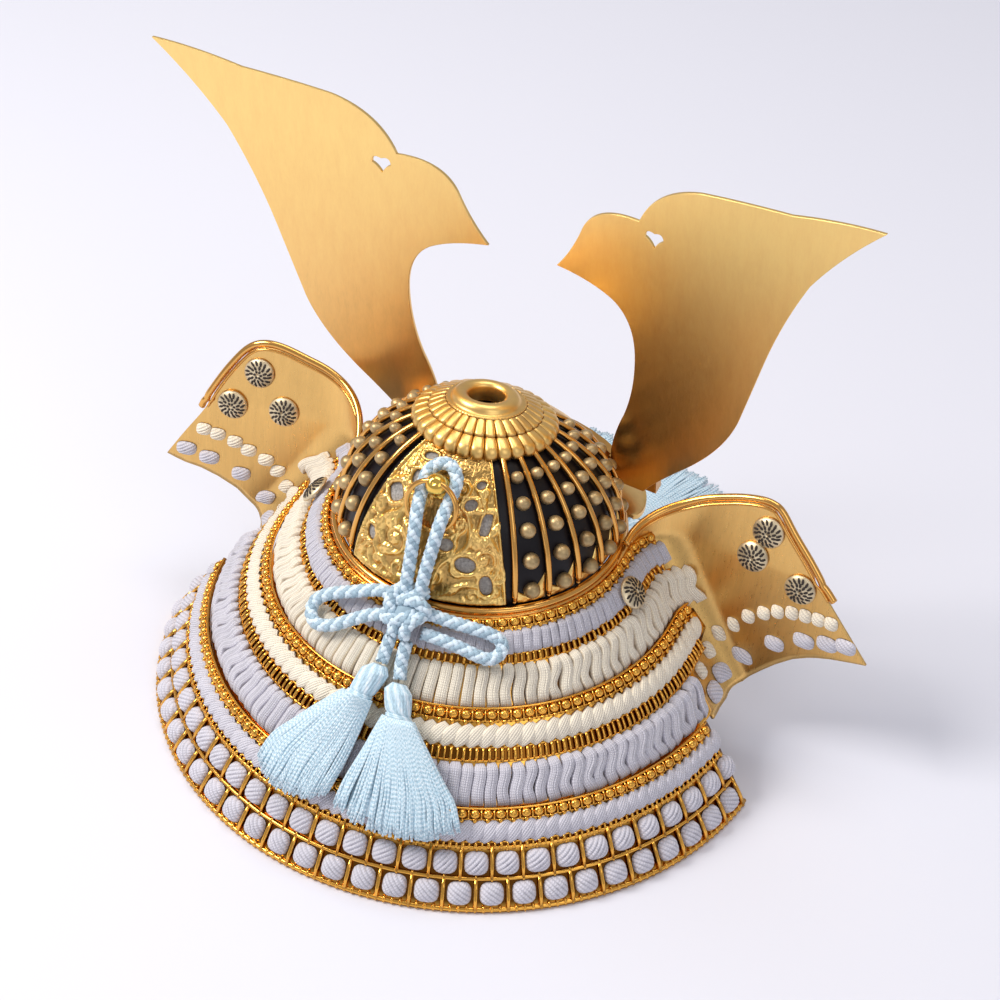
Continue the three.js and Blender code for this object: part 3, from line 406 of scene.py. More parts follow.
def grid_faces(nu, nv, wrap_u=False, wrap_v=False):
    """Quads over a grid of nu by nv points."""
    u = np.arange(nu if wrap_u else nu - 1)[:, None]
    v = np.arange(nv if wrap_v else nv - 1)[None, :]
    un = (u + 1) % nu
    vn = (v + 1) % nv
    quads = [u * nv + v, un * nv + v, un * nv + vn, u * nv + vn]
    return np.stack(np.broadcast_arrays(*quads), -1).reshape(-1, 4)


def grid_part(points, wrap_u=False, wrap_v=False, uv=None, cavity_shade=None):
    """A part of a mesh: its points, faces, uv and amounts of painted shade in hollows, from a grid of
    points.
    """
    nu, nv = points.shape[:2]
    flat = points.reshape(-1, 3)
    uv = np.zeros((len(flat), 2)) if uv is None else np.asarray(uv).reshape(-1, 2)
    cavity_shade = np.zeros(len(flat)) if cavity_shade is None else np.asarray(cavity_shade).reshape(-1)
    return flat, grid_faces(nu, nv, wrap_u, wrap_v), uv, cavity_shade


def sheet_part(face, back, cavity_shade=None):
    """A thin closed sheet between two grids of points. Only its face carries painted shade in hollows."""
    nu, nv = face.shape[:2]
    ring = np.concatenate([face, back[:, ::-1]], 1)
    hollow = None if cavity_shade is None else np.concatenate([cavity_shade, 0 * cavity_shade], 1)
    points, faces, uv, dark = grid_part(ring, wrap_v=True, cavity_shade=hollow)
    j = np.arange(nv - 1)
    caps = []
    for row in (0, nu - 1):
        start = row * 2 * nv
        near = start + j
        far = start + 2 * nv - 1 - j
        quad = np.stack([near, near + 1, far - 1, far], -1)
        caps.append(quad if row == 0 else quad[:, ::-1])
    return points, np.concatenate([faces, *caps]), uv, dark


def leaned(points):
    """Points of the crown: its forward half lies lower, the more the higher it is."""
    share = np.clip((points[..., 2] - RIM_Z) / BOWL_HEIGHT, 0, 1.2)
    ahead = points[..., 1] + 20
    drop = LEAN * share * 0.5 * (ahead + np.sqrt(ahead**2 + 64))
    moved = np.array(points, float)
    moved[..., 2] -= drop
    return moved


def finished(name, mesh, material, sharp, replaces):
    """The object of a mesh, with its normals, shading, material, body, slot and CAD nodes."""
    work = bmesh.new()
    work.from_mesh(mesh)
    bmesh.ops.recalc_face_normals(work, faces=work.faces)
    work.to_mesh(mesh)
    work.free()
    mesh.shade_smooth()
    if sharp:
        mesh.set_sharp_from_angle(angle=math.radians(sharp))
    mesh.materials.clear()
    mesh.materials.append(material)
    made = bpy.data.objects.new(name, mesh)
    bpy.context.scene.collection.objects.link(made)
    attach(made, "root")
    # The CAD materials use some of these names, and Blender then adds a number after a dot.
    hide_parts(*replaces)
    return made


def piece(name, parts, material, replaces, sharp=None, on_crown=False):
    """One object from parts in millimetres about the helmet's axis."""
    points = np.concatenate([p[0] for p in parts])
    if on_crown:
        points = leaned(points)
    counts = np.cumsum([0] + [len(p[0]) for p in parts])
    faces = np.concatenate([p[1] + n for p, n in zip(parts, counts)])
    mesh = bpy.data.meshes.new(name)
    mesh.from_pydata((points * MM + AXIS).tolist(), [], faces.tolist())
    uv = np.concatenate([p[2] for p in parts])
    layer = mesh.uv_layers.new(name="UVMap")
    loops = np.zeros(len(mesh.loops), dtype=np.int32)
    mesh.loops.foreach_get("vertex_index", loops)
    layer.data.foreach_set("uv", uv[loops].astype(np.float32).ravel())
    # Painted shade: the darkness of the hollows goes to the mesh as a point attribute for the gold
    # materials.
    dark = np.concatenate([p[3] for p in parts]).astype(np.float32)
    if dark.any():
        mesh.attributes.new("cavity_shade", "FLOAT", "POINT").data.foreach_set("value", dark)
    return finished(name, mesh, material, sharp, replaces)


def smooth_path(points, count):
    """Points along a Catmull-Rom curve through the given ones."""
    p = np.asarray(points, float)
    p = np.concatenate([2 * p[:1] - p[1:2], p, 2 * p[-1:] - p[-2:-1]])
    spans = len(p) - 3
    t = np.linspace(0, spans, count)
    i = np.minimum(t.astype(int), spans - 1)
    f = (t - i)[:, None]
    a, b, c, d = p[i], p[i + 1], p[i + 2], p[i + 3]
    cubic = (-a + 3 * b - 3 * c + d) * f**3
    square = (2 * a - 5 * b + 4 * c - d) * f**2
    return 0.5 * (2 * b + (c - a) * f + square + cubic)


def resample(path, step):
    """The same line with points an even step apart."""
    s = run_along(path)
    count = max(3, int(round(s[-1] / step)) + 1)
    even = np.linspace(0, s[-1], count)
    return np.stack([np.interp(even, s, path[:, k]) for k in range(3)], 1), even


def carried_frame(path):
    """Two unit vectors across the path at each point, turning as little as they can."""
    along = directions(path)
    start = np.array([0.0, 0.0, 1.0]) if abs(along[0][2]) < 0.9 else np.array([1.0, 0.0, 0.0])
    side = np.cross(along[0], start)
    sides = []
    for direction in along:
        side = side - direction * side.dot(direction)
        side = side / np.linalg.norm(side)
        sides.append(side)
    sides = np.array(sides)
    return sides, np.cross(along, sides)


def tube_part(path, radius, around=8, flat=1.0, ends=True, tone=None):
    """A bar along a path. The radius may change along it, and flat squeezes it one way."""
    path = np.asarray(path, float)
    radius = np.broadcast_to(radius, (len(path),)).astype(float)
    if ends:
        path = np.concatenate([path[:1], path, path[-1:]])
        radius = np.concatenate([[0.02], radius, [0.02]])
        a, b = carried_frame(path[1:-1])
        a = np.concatenate([a[:1], a, a[-1:]])
        b = np.concatenate([b[:1], b, b[-1:]])
    else:
        a, b = carried_frame(path)
    angle = full_turn(around)
    ring = a[:, None] * np.cos(angle)[None, :, None] + b[:, None] * (flat * np.sin(angle))[None, :, None]
    points = path[:, None] + ring * radius[:, None, None]
    length = run_along(path)
    across = np.broadcast_to(np.linspace(0, 1, around), (len(path), around))
    if tone is not None:
        across = across * 0.02 + tone
    uv = np.stack([across, np.broadcast_to(length[:, None], across.shape)], -1)
    return grid_part(points, wrap_v=True, uv=uv)


def lathe_part(profile, segments):
    """A turned form about +Z from (radius, height) pairs that close on themselves."""
    r, z = np.array(profile, float).T
    a = full_turn(segments)
    radius = np.broadcast_to(r[:, None], (len(r), segments))
    points = np.stack(
        [radius * np.sin(a), -radius * np.cos(a), np.broadcast_to(z[:, None], radius.shape)], -1
    )
    return grid_part(points, wrap_u=True, wrap_v=True)


def dome_part(profile, segments):
    """A turned form whose profile starts and ends near its axis."""
    return lathe_part([(max(r, 0.01), z) for r, z in profile], segments)


def place(part, spot, normal, up=(0, 0, 1), scale=(1, 1, 1)):
    """Moves a part so that its +Z points along normal."""
    n = unit(np.asarray(normal, float))
    side = unit(np.cross(up, n))
    turn = np.stack([side, np.cross(n, side), n], 1)
    points = (part[0] * np.array(scale)) @ turn.T + np.asarray(spot)
    return points, part[1], part[2], part[3]


# ---- surfaces -----------------------------------------------------------------------------
# How far from a point, in units of angle and in mm, its slopes are taken.
NEAR = 0.4


def on_bowl(angle, height, out=0.0):
    """Point of the bowl at an angle and a height above the rim, moved outwards."""
    angle, height, out = arrays(angle, height, out)
    t = np.arcsin(np.clip(height / BOWL_HEIGHT, -1, 1))
    across = np.cos(t) / BOWL_RADIUS
    rise = np.sin(t) / BOWL_HEIGHT
    size = np.hypot(across, rise)
    r = BOWL_RADIUS * np.cos(t) + out * across / size
    z = RIM_Z + height + out * rise / size
    a = np.radians(angle)
    return np.stack([r * np.sin(a), -r * np.cos(a), z], -1)


def line_radius(line):
    """Radius at a height on a line of (radius, height) points, run on past both its ends."""
    r, z = np.array(sorted(line, key=lambda p: p[1]), float).T

    def radius(height):
        height = np.asarray(height, float)
        i = np.clip(np.searchsorted(z, height) - 1, 0, len(z) - 2)
        return r[i] + (height - z[i]) * (r[i + 1] - r[i]) / (z[i + 1] - z[i])

    return radius


lame_radius = [line_radius(line) for line in LAME_LINES]
cover_radius = line_radius(COVER_LINE)


def flap_radius(height):
    height = np.asarray(height, float)
    upright = LAME_LINES[0][0][0] + 0.1 * (height - FLAP_KNEE)
    return np.where(height < FLAP_KNEE, lame_radius[0](height), upright)


def skirt_point(radius, angle, z):
    """Point of a skirt surface. Past 90 degrees an angle counts millimetres along the turned-back plate."""
    angle, z = arrays(angle, z)
    side = np.where(angle < 0, -1.0, 1.0)
    a = np.abs(angle)
    r = radius(z)
    s = a - 90 - FOLD_START
    bend = FOLD_RADIUS + FOLD_FLARE * (z - RIM_Z + 1.4)
    turn = np.clip(s / bend, 0, np.radians(np.where(side < 0, *FOLD_ANGLES)))
    rest = np.maximum(s - bend * turn, 0)
    fold_x = r + bend * (1 - np.cos(turn)) + rest * np.sin(turn)
    fold_y = np.minimum(a - 90, FOLD_START) + bend * np.sin(turn) + rest * np.cos(turn)
    t = np.radians(np.minimum(a, 90))
    x = np.where(a <= 90, r * np.sin(t), fold_x)
    y = np.where(a <= 90, -r * np.cos(t), fold_y)
    return np.stack([side * x, y, z], -1)


def skirt_normal(radius, angle, z):
    angle, z = arrays(angle, z)
    along = skirt_point(radius, angle + NEAR, z) - skirt_point(radius, angle - NEAR, z)
    up = skirt_point(radius, angle, z + NEAR) - skirt_point(radius, angle, z - NEAR)
    return unit(np.cross(along, up))


def skirt_out(radius, angle, z, out):
    out = np.asarray(out, float)
    return skirt_point(radius, angle, z) + skirt_normal(radius, angle, z) * out[..., None]


def steps_along(radius, z, end, pitch):
    """Angles from -end to end, a pitch in millimetres apart."""
    r = float(radius(z))
    ring = min(end, 90)
    per_degree = math.radians(1) * r
    angles = []
    a = -end
    while a <= end:
        angles.append(a)
        a += pitch / (per_degree if abs(a) < ring else 1.0)
    return angles


def degrees_at(radius, z, angle):
    """How many units of angle make one millimetre along the surface there."""
    return np.where(np.abs(angle) > 90, 1.0, 1 / (math.radians(1) * radius(z)))


add_camera()


# ---- cords --------------------------------------------------------------------------------
RIBBON_SIDES = 6
BRAID_STRANDS = 4
BRAID_LEAD = 8.2
BRAID_CORE = 0.66


def ribbon_part(line, out, wide, thick, tone):
    """A flattened strand along a line whose flat side faces out."""
    along = directions(line)
    side = unit(np.cross(along, out))
    up = np.cross(side, along)
    angle = full_turn(RIBBON_SIDES)
    ring = side[:, None] * (wide * np.cos(angle))[None, :, None]
    ring = ring + up[:, None] * (thick * np.sin(angle))[None, :, None]
    points = line[:, None] + ring
    length = run_along(line)
    across = np.broadcast_to(tone + np.linspace(0, 1, RIBBON_SIDES), points.shape[:2])
    uv = np.stack([across, np.broadcast_to(length[:, None], across.shape)], -1)
    return grid_part(points, wrap_v=True, uv=uv)


def braid_parts(path, radius=2.0, step=0.4):
    """A round braid of two families of strands that pass over and under each other."""
    line, s = resample(np.asarray(path, float), step)
    a, b = carried_frame(line)
    parts = [tube_part(line, radius * BRAID_CORE, 8)]
    for way in (1, -1):
        for k in range(BRAID_STRANDS):
            turn = way * 2 * math.pi * s / BRAID_LEAD + 2 * math.pi * k / BRAID_STRANDS
            lift = way * np.cos(BRAID_STRANDS * 2 * math.pi * s / BRAID_LEAD)
            out = a * np.cos(turn)[:, None] + b * np.sin(turn)[:, None]
            reach = radius * (BRAID_CORE + 0.12 * lift)
            centre = line + out * reach[:, None]
            tone = 3.0 * k + (1.5 if way > 0 else 0)
            parts.append(ribbon_part(centre, out, radius * 0.38, radius * 0.22, tone))
    return parts


def over_skirt(angle, z, out):
    return skirt_out(cover_radius, angle, z, out)


# (mm to the right, height above the rim, mm out of the bowl)
KNOB_LOOP = [
    (-2.4, 4.6, 5.8), (-2.2, 11, 5.2), (-2.4, 20, 6.0), (-3.2, 24.2, 5.9), (-4.3, 28.5, 4.1),
    (-4.4, 31.6, 4.1), (-2.4, 33.4, 4.1), (0, 33.9, 4.1), (2.4, 33.4, 4.1), (4.4, 31.6, 4.1),
    (4.3, 28.5, 4.1), (4.1, 24.2, 5.9), (3.8, 20, 6.0), (2.6, 11, 5.2), (2.1, 4.6, 5.8),
]
# (angle, z, mm out of the lacing) of the bows and the tails
BOW_LEFT = [
    (-6.4, 63.8, 3.2), (-11, 64, 2.6), (-16, 62.8, 2.4), (-21.5, 60.8, 2.4), (-27.5, 58, 2.4),
    (-31.4, 54.6, 2.4), (-30.4, 51.7, 2.4), (-26.5, 50.7, 2.4), (-21.6, 52.6, 2.4),
    (-16.6, 56, 2.4), (-11.5, 58.8, 2.6), (-6.6, 60.2, 3.2),
]
BOW_RIGHT = [
    (6.4, 62.8, 3.2), (13, 62.3, 2.4), (18.3, 61.8, 2.4), (23.7, 61.1, 2.4), (28.3, 60.2, 2.4),
    (31.2, 58.4, 2.4), (30.4, 56.4, 2.4), (27.4, 55.3, 2.4), (23.6, 56, 2.4), (19, 57.3, 2.4),
    (13.6, 58.3, 2.5), (6.8, 59, 3.2),
]
TAILS = {
    "left": [(-2.6, 56.6, 3.2), (-2.8, 53.8, 2.6), (-2.8, 51.0, 2.6)],
    "right": [(2.6, 56.4, 3.2), (2.6, 52.4, 2.6), (3.4, 48.9, 2.6)],
}
# (x, y, z)
CHIN_ROUTES = {
    "right": [
        (30.4, 16.8, 69.5), (30.4, 16.8, 60), (30.5, 16.9, 45), (30.6, 17.0, 30),
        (30.6, 17.2, 17), (30.6, 19.2, 8.4), (30.4, 24.4, 3.4), (29.8, 32, 2.2),
        (27.4, 44, 2.2), (24.2, 56, 2.2), (21.2, 67, 2.3), (19.4, 74, 2.6),
    ],
    "left": [
        (-30.4, 16.8, 69.5), (-30.4, 16.8, 60), (-30.5, 16.9, 45), (-30.6, 17.0, 30),
        (-30.6, 17.2, 17), (-30.6, 19.2, 8.4), (-30.6, 24.4, 3.4), (-30.4, 33, 2.2),
        (-28.8, 47, 2.2), (-25.0, 61, 2.2), (-19.6, 74, 2.3), (-14.6, 82, 2.6),
    ],
}


def cord_piece(name, points, node, count, step=0.4, on_crown=False):
    """A braided cord along a route."""
    line = smooth_path(points, count)
    if on_crown:
        line = leaned(line)
    made = piece(name, braid_parts(line, step=step), blue_braid, [node])


loop_line = [on_bowl(0, h, out) + np.array([x, 0, 0]) for x, h, out in KNOB_LOOP]
cord_piece("agemaki_loop", loop_line, "cord_loop", 60, on_crown=True)
for name, _ in SIDES:
    route = BOW_LEFT if name == "left" else BOW_RIGHT
    points = [over_skirt(*p) for p in route]
    cord_piece("agemaki_bow_" + name, points, "cord_bow_" + name, 80)


# ---- knot with its two tails --------------------------------------------------------------
def knot_parts():
    """A cross knot: four cords wrapped round each other over a soft middle."""
    centre = over_skirt(0.4, 61.3, 4.4)
    normal = skirt_normal(cover_radius, 0, 61.3)
    side = np.array([1.0, 0, 0])
    up = np.cross(normal, side)

    def at(x, y, out):
        return centre + side * x + up * y + normal * out

    ways = [
        [(-0.8, 7.6, -0.6), (-4.0, 6.6, 0.6), (-5.4, 3.4, 1.6), (-4.4, 0, 1.0), (-2.1, -1.8, -0.6)],
        [(-4.4, 2.6, -1.2), (-2.0, 3.8, 1.2), (1.9, 4.4, 2.3), (4.8, 3.4, 1.4), (5.0, 1.2, -0.4)],
        [(5.0, 2.4, -0.8), (4.4, 0.6, 1.2), (2.8, -1.4, 2.3), (1.6, -3.8, 1.6), (1.6, -5.8, 0)],
        [(-6.4, -1.0, -1.0), (-4.6, -2.2, 1.0), (-1.3, -1.9, 2.3), (1.0, -0.4, 1.6), (2.0, 1.6, 0)],
        [(3.6, 7.4, -0.8), (1.6, 6.6, 0.4), (-0.4, 5.0, 0.2)],
        [(-1.2, -1.0, 0.2), (-1.9, -3.6, 1.4), (-1.9, -5.8, 0)],
    ]
    parts = []
    for way in ways:
        line = smooth_path([at(*p) for p in way], 20)
        parts += braid_parts(line, radius=1.9, step=0.4)
    core = dome_part([(0, -3.4), (2.4, -2.6), (3.8, -0.8), (3.6, 1), (2.4, 1.9), (0, 2.4)], 14)
    parts.append(place(core, centre, normal, up=side))
    for points in TAILS.values():
        line = smooth_path([over_skirt(*p) for p in points], 16)
        parts += braid_parts(line)
    return parts


piece("agemaki_knot", knot_parts(), blue_braid, ["cord_knot", "cord_tail_left", "cord_tail_right"])


# ---- tassels ------------------------------------------------------------------------------
# (angle, z, half width, half thickness) down each tassel
TASSEL_ROWS = {
    "left": [
        (-2.8, 50.2, 2.4, 2.4), (-3.2, 48.6, 3.8, 3.4), (-4.6, 44.2, 3.8, 3.3),
        (-5.2, 42.8, 4.2, 3.4), (-8.2, 36.0, 7.8, 3.2), (-11.4, 27.6, 11.6, 2.6),
        (-12.8, 18.2, 12.0, 1.9),
    ],
    "right": [
        (3.8, 47.8, 2.4, 2.4), (4.2, 46.2, 3.8, 3.4), (5.4, 42.2, 3.8, 3.3),
        (6.0, 40.8, 4.2, 3.4), (8.0, 33.6, 9.6, 3.2), (9.6, 26.0, 15.6, 2.6),
        (10.0, 17.4, 19.0, 1.9),
    ],
}
# start and end of each tassel that lies in front
CHIN_TASSELS = {
    "right": ((19.7, 76.2, 0), (32.5, 121, 0)),
    "left": ((-13.9, 83.6, 0), (0.5, 128, 0)),
}
# (share of the way along, half width, half thickness)
CHIN_ROWS = [
    (0, 2.4, 2.3), (0.05, 3.7, 3.5), (0.16, 3.5, 3.4), (0.19, 4.2, 3.6),
    (0.42, 8.4, 3.2), (0.72, 12.6, 2.4), (1, 15.4, 1.4),
]


COLLAR_THREADS = 26


def capped_parts(body, uv):
    """A tube given as rings of points, with a cap at each end."""
    parts = [grid_part(body, wrap_v=True, uv=uv)]
    for ring in (body[0], body[-1]):
        cap = np.stack([ring, np.broadcast_to(ring.mean(0), ring.shape)])
        parts.append(grid_part(cap, wrap_v=True))
    return parts


def row_mixer(rows):
    """Values of the rows at t, where the rows are an even step apart from 0 to 1."""
    table = np.array(rows, float)
    places = np.linspace(0, 1, len(rows))
    return lambda t: [np.interp(t, places, table[:, k]) for k in range(table.shape[1])]


def fringe_parts(rows, at, threads, seed):
    """Loose threads that fan out from a collar, over a body of the same shape."""
    draw = np.random.default_rng(seed)
    mix = row_mixer(rows)
    parts = []
    t = np.linspace(0, 1, 9)
    for i in range(threads):
        u = np.clip(draw.normal(0, 0.6), -1, 1) if i % 3 == 0 else draw.uniform(-1, 1)
        deep = 1.0 if i % 4 else draw.uniform(0.2, 0.8)
        end = draw.uniform(0.9, 1.0) * (1 - 0.13 * u * u)
        wave = draw.uniform(0, 2 * math.pi)
        sway = draw.uniform(0.3, 1.4)
        row = mix(t * end)
        wide, thick = row[-2], row[-1]
        x = wide * np.clip(u + 0.06 * sway * np.sin(wave + 4 * t) * t, -0.99, 0.99)
        y = thick * (1 + 0.98 * deep * np.sqrt(1 - (x / wide) ** 2 * 0.96))
        y += 0.35 * np.sin(wave * 2 + 4 * t) * t
        line = at(row, x, np.maximum(y, 0.4))
        fine = smooth_path(line, 15)
        size = draw.uniform(0.34, 0.46) * np.linspace(1, 0.86, 15)
        parts.append(tube_part(fine, size, 5, tone=draw.uniform(0, 40)))
    around = full_turn(40)
    steps = np.linspace(0, 0.86, 14)
    body = []
    for k in steps:
        row = mix(np.full(len(around), k))
        wide, thick = row[-2], row[-1]
        ridge = 0.93 - 0.03 * np.cos(around * 20)
        x = wide * 0.9 * ridge * np.cos(around)
        y = thick * (1 + 0.78 * ridge * np.sin(around))
        body.append(at(row, x, y))
    uv = np.stack(np.broadcast_arrays(np.cos(around)[None] * 12, steps[:, None] * 4), -1)
    return parts + capped_parts(np.array(body), uv)


def collar_parts(rows, at):
    """The head of a tassel: a bulb of upright threads, tied at its foot."""
    mix = row_mixer(rows)
    around = full_turn(COLLAR_THREADS * 4)
    steps = np.linspace(0, 1, 34)
    body = []
    for k in steps:
        row = mix(np.full(len(around), k))
        wide, thick = row[-2], row[-1]
        bulge = 0.8 + 0.2 * math.sin(math.pi * min(1, k / 0.8)) ** 0.6
        thread = 0.94 + 0.06 * np.abs(np.sin(13 * around + 1.5 * k))
        ridge = bulge * thread
        if k > 0.82:
            ridge = (0.86 + 0.05 * abs(math.sin(math.pi * (k - 0.82) / 0.045))) + 0 * around
        body.append(at(row, wide * ridge * np.cos(around), thick * (1 + ridge * np.sin(around))))
    uv = around[None] * COLLAR_THREADS * 0.5 / math.pi
    uv = np.stack(np.broadcast_arrays(uv, steps[:, None] * 2), -1)
    return capped_parts(np.array(body), uv)


def tassel_pieces(name, rows, at, threads, seed):
    fringe = piece(name + "_fringe", fringe_parts(rows[3:], at, threads, seed), blue_silk, [name])
    return fringe, piece(name + "_collar", collar_parts(rows[:4], at), blue_silk, [name])


def on_skirt_tassel(row, x, y):
    angle, z = row[0], row[1]
    turn = np.degrees(x / cover_radius(z))
    return skirt_out(cover_radius, angle + turn, z, 0.4 + y)


def on_floor_tassel(start, end):
    start, end = np.array(start, float), np.array(end, float)
    along = end - start
    across = unit(np.array([along[1], -along[0], 0]))

    def at(row, x, y):
        share = np.asarray(row[0])[..., None]
        spot = start + along * share + across * np.asarray(x)[..., None]
        return spot + np.array([0, 0, 1.0]) * (np.asarray(y)[..., None] + 0.05)

    return at


for seed, (name, _) in enumerate(SIDES):
    tassel_pieces("tassel_" + name, TASSEL_ROWS[name], on_skirt_tassel, 230, seed)
    at = on_floor_tassel(*CHIN_TASSELS[name])
    pieces_on = tassel_pieces("chin_tassel_" + name, CHIN_ROWS, at, 130, seed + 5)
    route = CHIN_ROUTES[name]
    cord_piece("himo_" + name, route, "chin_cord_" + name, 120, step=0.85)

# ---- bowl ---------------------------------------------------------------------------------
def bowl_parts():
    top = math.asin(math.sqrt(1 - (CROWN_HOLE / BOWL_RADIUS) ** 2))
    heights = BOWL_HEIGHT * np.sin(np.linspace(0, top, 26))
    outer = on_bowl(90, heights, 0)
    inner = on_bowl(90, heights, -1.2)[::-1]
    profile = np.concatenate([outer, inner])[:, [0, 2]]
    return [lathe_part(profile, 128)]


def column_angles():
    return [sign * (RIB_FIRST + (c + 0.5) * RIB_STEP) for _, sign in SIDES for c in range(RIB_COLUMNS)]


# (share of the rivet's radius, height above the bowl)
RIVET_PROFILE = [
    (0, -0.3), (0.9, -0.3), (0.98, 0.3), (1, 0.8), (0.93, 1.5), (0.77, 2.3), (0.5, 2.85),
    (0.2, 3.1), (0, 3.15),
]


def rivet_parts():
    parts = []
    for angle in column_angles():
        for height, r in RIVET_ROWS:
            profile = [(r * share, rise) for share, rise in RIVET_PROFILE]
            foot = on_bowl(angle, height, 0)
            parts.append(place(dome_part(profile, 16), foot, on_bowl(angle, height, 1) - foot))
    return parts


def leaf_parts():
    """Thin pointed plates that lie on the bowl at the foot of each column of rivets."""
    parts = []
    u = np.linspace(0, 1, 16)
    v = np.linspace(0, 1, 14)
    rise = 3.3 + 7.6 * np.abs(u - 0.42) ** 1.15 * np.where(u < 0.42, 0.75, 1.5)
    for _, sign in SIDES:
        for c in range(RIB_COLUMNS):
            angle = sign * (RIB_FIRST + (c + 0.06 + 0.88 * (u if sign > 0 else 1 - u)) * RIB_STEP)
            angle = angle[:, None] + 0 * v
            height = 1.4 + (rise[:, None] - 1.4) * v
            emboss = 0.42 + 0.07 * np.sin(angle * 9) * np.sin(height * 3.3)
            edge = np.minimum(1, 6 * (1 - v)) * np.minimum(1, 8 * np.minimum(u, 1 - u) + 0.3)[:, None]
            face = on_bowl(angle, height, 0.06 + emboss * edge)
            parts.append(sheet_part(face, on_bowl(angle, height, -0.1)))
    return parts


shell = ["hachi_bowl"]
piece("bowl_shell", bowl_parts(), black_ground, shell, sharp=40, on_crown=True)
piece("bowl_rivets", rivet_parts(), beige_metal, shell, on_crown=True)
piece("bowl_leaves", leaf_parts(), cast_yellow, shell, on_crown=True)


RIB_FOOT = 2.9
RIB_TOP = 1.16
RIB_OUT = 1.15
RIB_SIZE = 0.86
# radius of the ring, its z, the radius of its wire and the points round it
RIM_RINGS = [(41.5, 63.2, 1.2, 19), (42.3, 61.6, 0.95, 9)]


def rib_parts():
    parts = []
    for _, sign in SIDES:
        for c in range(RIB_COLUMNS + 1):
            rise = np.linspace(math.asin(RIB_FOOT / BOWL_HEIGHT), RIB_TOP, 30)
            heights = BOWL_HEIGHT * np.sin(rise)
            line = on_bowl(sign * (RIB_FIRST + c * RIB_STEP), heights, RIB_OUT)
            size = np.full(len(line), RIB_SIZE)
            size[0] = 0.6
            parts.append(tube_part(line, size, 12))
            tip = on_bowl(sign * (RIB_FIRST + c * RIB_STEP), 2.5, 1.0)
            bead = dome_part([(0, -0.6), (0.5, -0.3), (0.6, 0), (0.5, 0.3), (0, 0.6)], 8)
            parts.append(place(bead, tip, (0, 0, 1), up=(1, 0, 0)))
    for radius, z, size, count in RIM_RINGS:
        turns = np.linspace(0, 2 * math.pi, count + 1)[:-1]
        ring = [(radius + size * math.cos(a), z + size * math.sin(a)) for a in turns]
        parts.append(lathe_part(ring, 160))
    return parts


piece("suji_ribs", rib_parts(), wire_gold, ["suji_ribs_and_rim"], on_crown=True)


# ---- pierced panel ------------------------------------------------------------------------
PANEL_LOW = 34.5
PANEL_HIGH = 28.2
PANEL_LOWEST = 1.8
PANEL_TOP = 36.8
# mm up the panel laid flat for each radian up the bowl
PANEL_SCALE = 41
PANEL_FOOT = 0.35
PANEL_EDGE = 1.35
FRONT_HALF = 39.75
FRONT_TOP = 34.5
# angle, height, half width, half height, turn, squareness
PIERCINGS = [
    (-23.2, 25.2, 2.6, 2.3, 30, 3.2), (-27, 12.8, 1.8, 2.1, 0, 2), (-15.9, 30, 1.8, 2.1, 0, 2.4),
    (8.2, 18.1, 2.2, 1.8, 10, 2), (22.2, 31.8, 1.3, 1.2, 0, 2), (17.4, 27.8, 1.7, 1.6, 0, 2),
    (25.3, 23.8, 1.4, 3.0, 0, 4), (17.3, 13.6, 2.9, 2.2, -15, 2.2), (26, 8, 1.7, 3.1, 15, 2.4),
    (-16.2, 34.5, 2.2, 1.1, 20, 2.4),
]
# curling stems of the relief: centre across and up in mm, size, start, turns
STEMS = [
    (-9.5, 15.5, 5.2, 200, 1.35), (-17.5, 17.5, 3.6, 20, -1.3), (-14, 6.8, 4.0, 160, 1.3),
    (-5.5, 26.5, 3.8, 240, -1.3), (-12.5, 27.5, 3.4, 60, 1.2), (-4, 34, 3.0, 0, 1.3),
    (-20.5, 10.5, 2.6, 300, 1.2), (-7, 7.8, 3.2, 20, -1.2), (-8.8, 34.5, 2.6, 90, -1.2),
    (7.5, 24.5, 3.4, 120, 1.3), (11.5, 30.8, 2.4, 300, -1.2), (5.5, 33.5, 3.2, 190, -1.35),
    (16, 15.5, 3.4, 340, 1.2), (9.5, 12.5, 3.2, 90, -1.3), (14.5, 4.6, 2.8, 200, 1.2),
    (20.5, 10.5, 2.6, 60, -1.2), (3.5, 9.5, 2.6, 280, 1.2), (14, 24.2, 2.6, 200, 1.2),
]
# main vines that join them: points across and up
VINES = [
    [(-1, 2.5), (-4, 5), (-10, 6), (-16, 11), (-14.5, 19), (-9, 24), (-9, 31), (-3, 37)],
    [(-2, 4), (-4, 12), (-3, 20), (-7, 27), (-5, 33)],
    [(-22, 4), (-18, 3.5), (-12, 3.6), (-6, 2.8)],
    [(1.5, 3), (6, 4), (12, 8), (18, 8), (20.5, 15), (16.5, 21), (13.5, 28), (9, 36)],
    [(3, 5), (5, 13), (11, 19), (9, 27), (4, 31), (3, 37)],
    [(22, 3.4), (17, 2.8), (10, 2.8), (4, 2.6)],
]
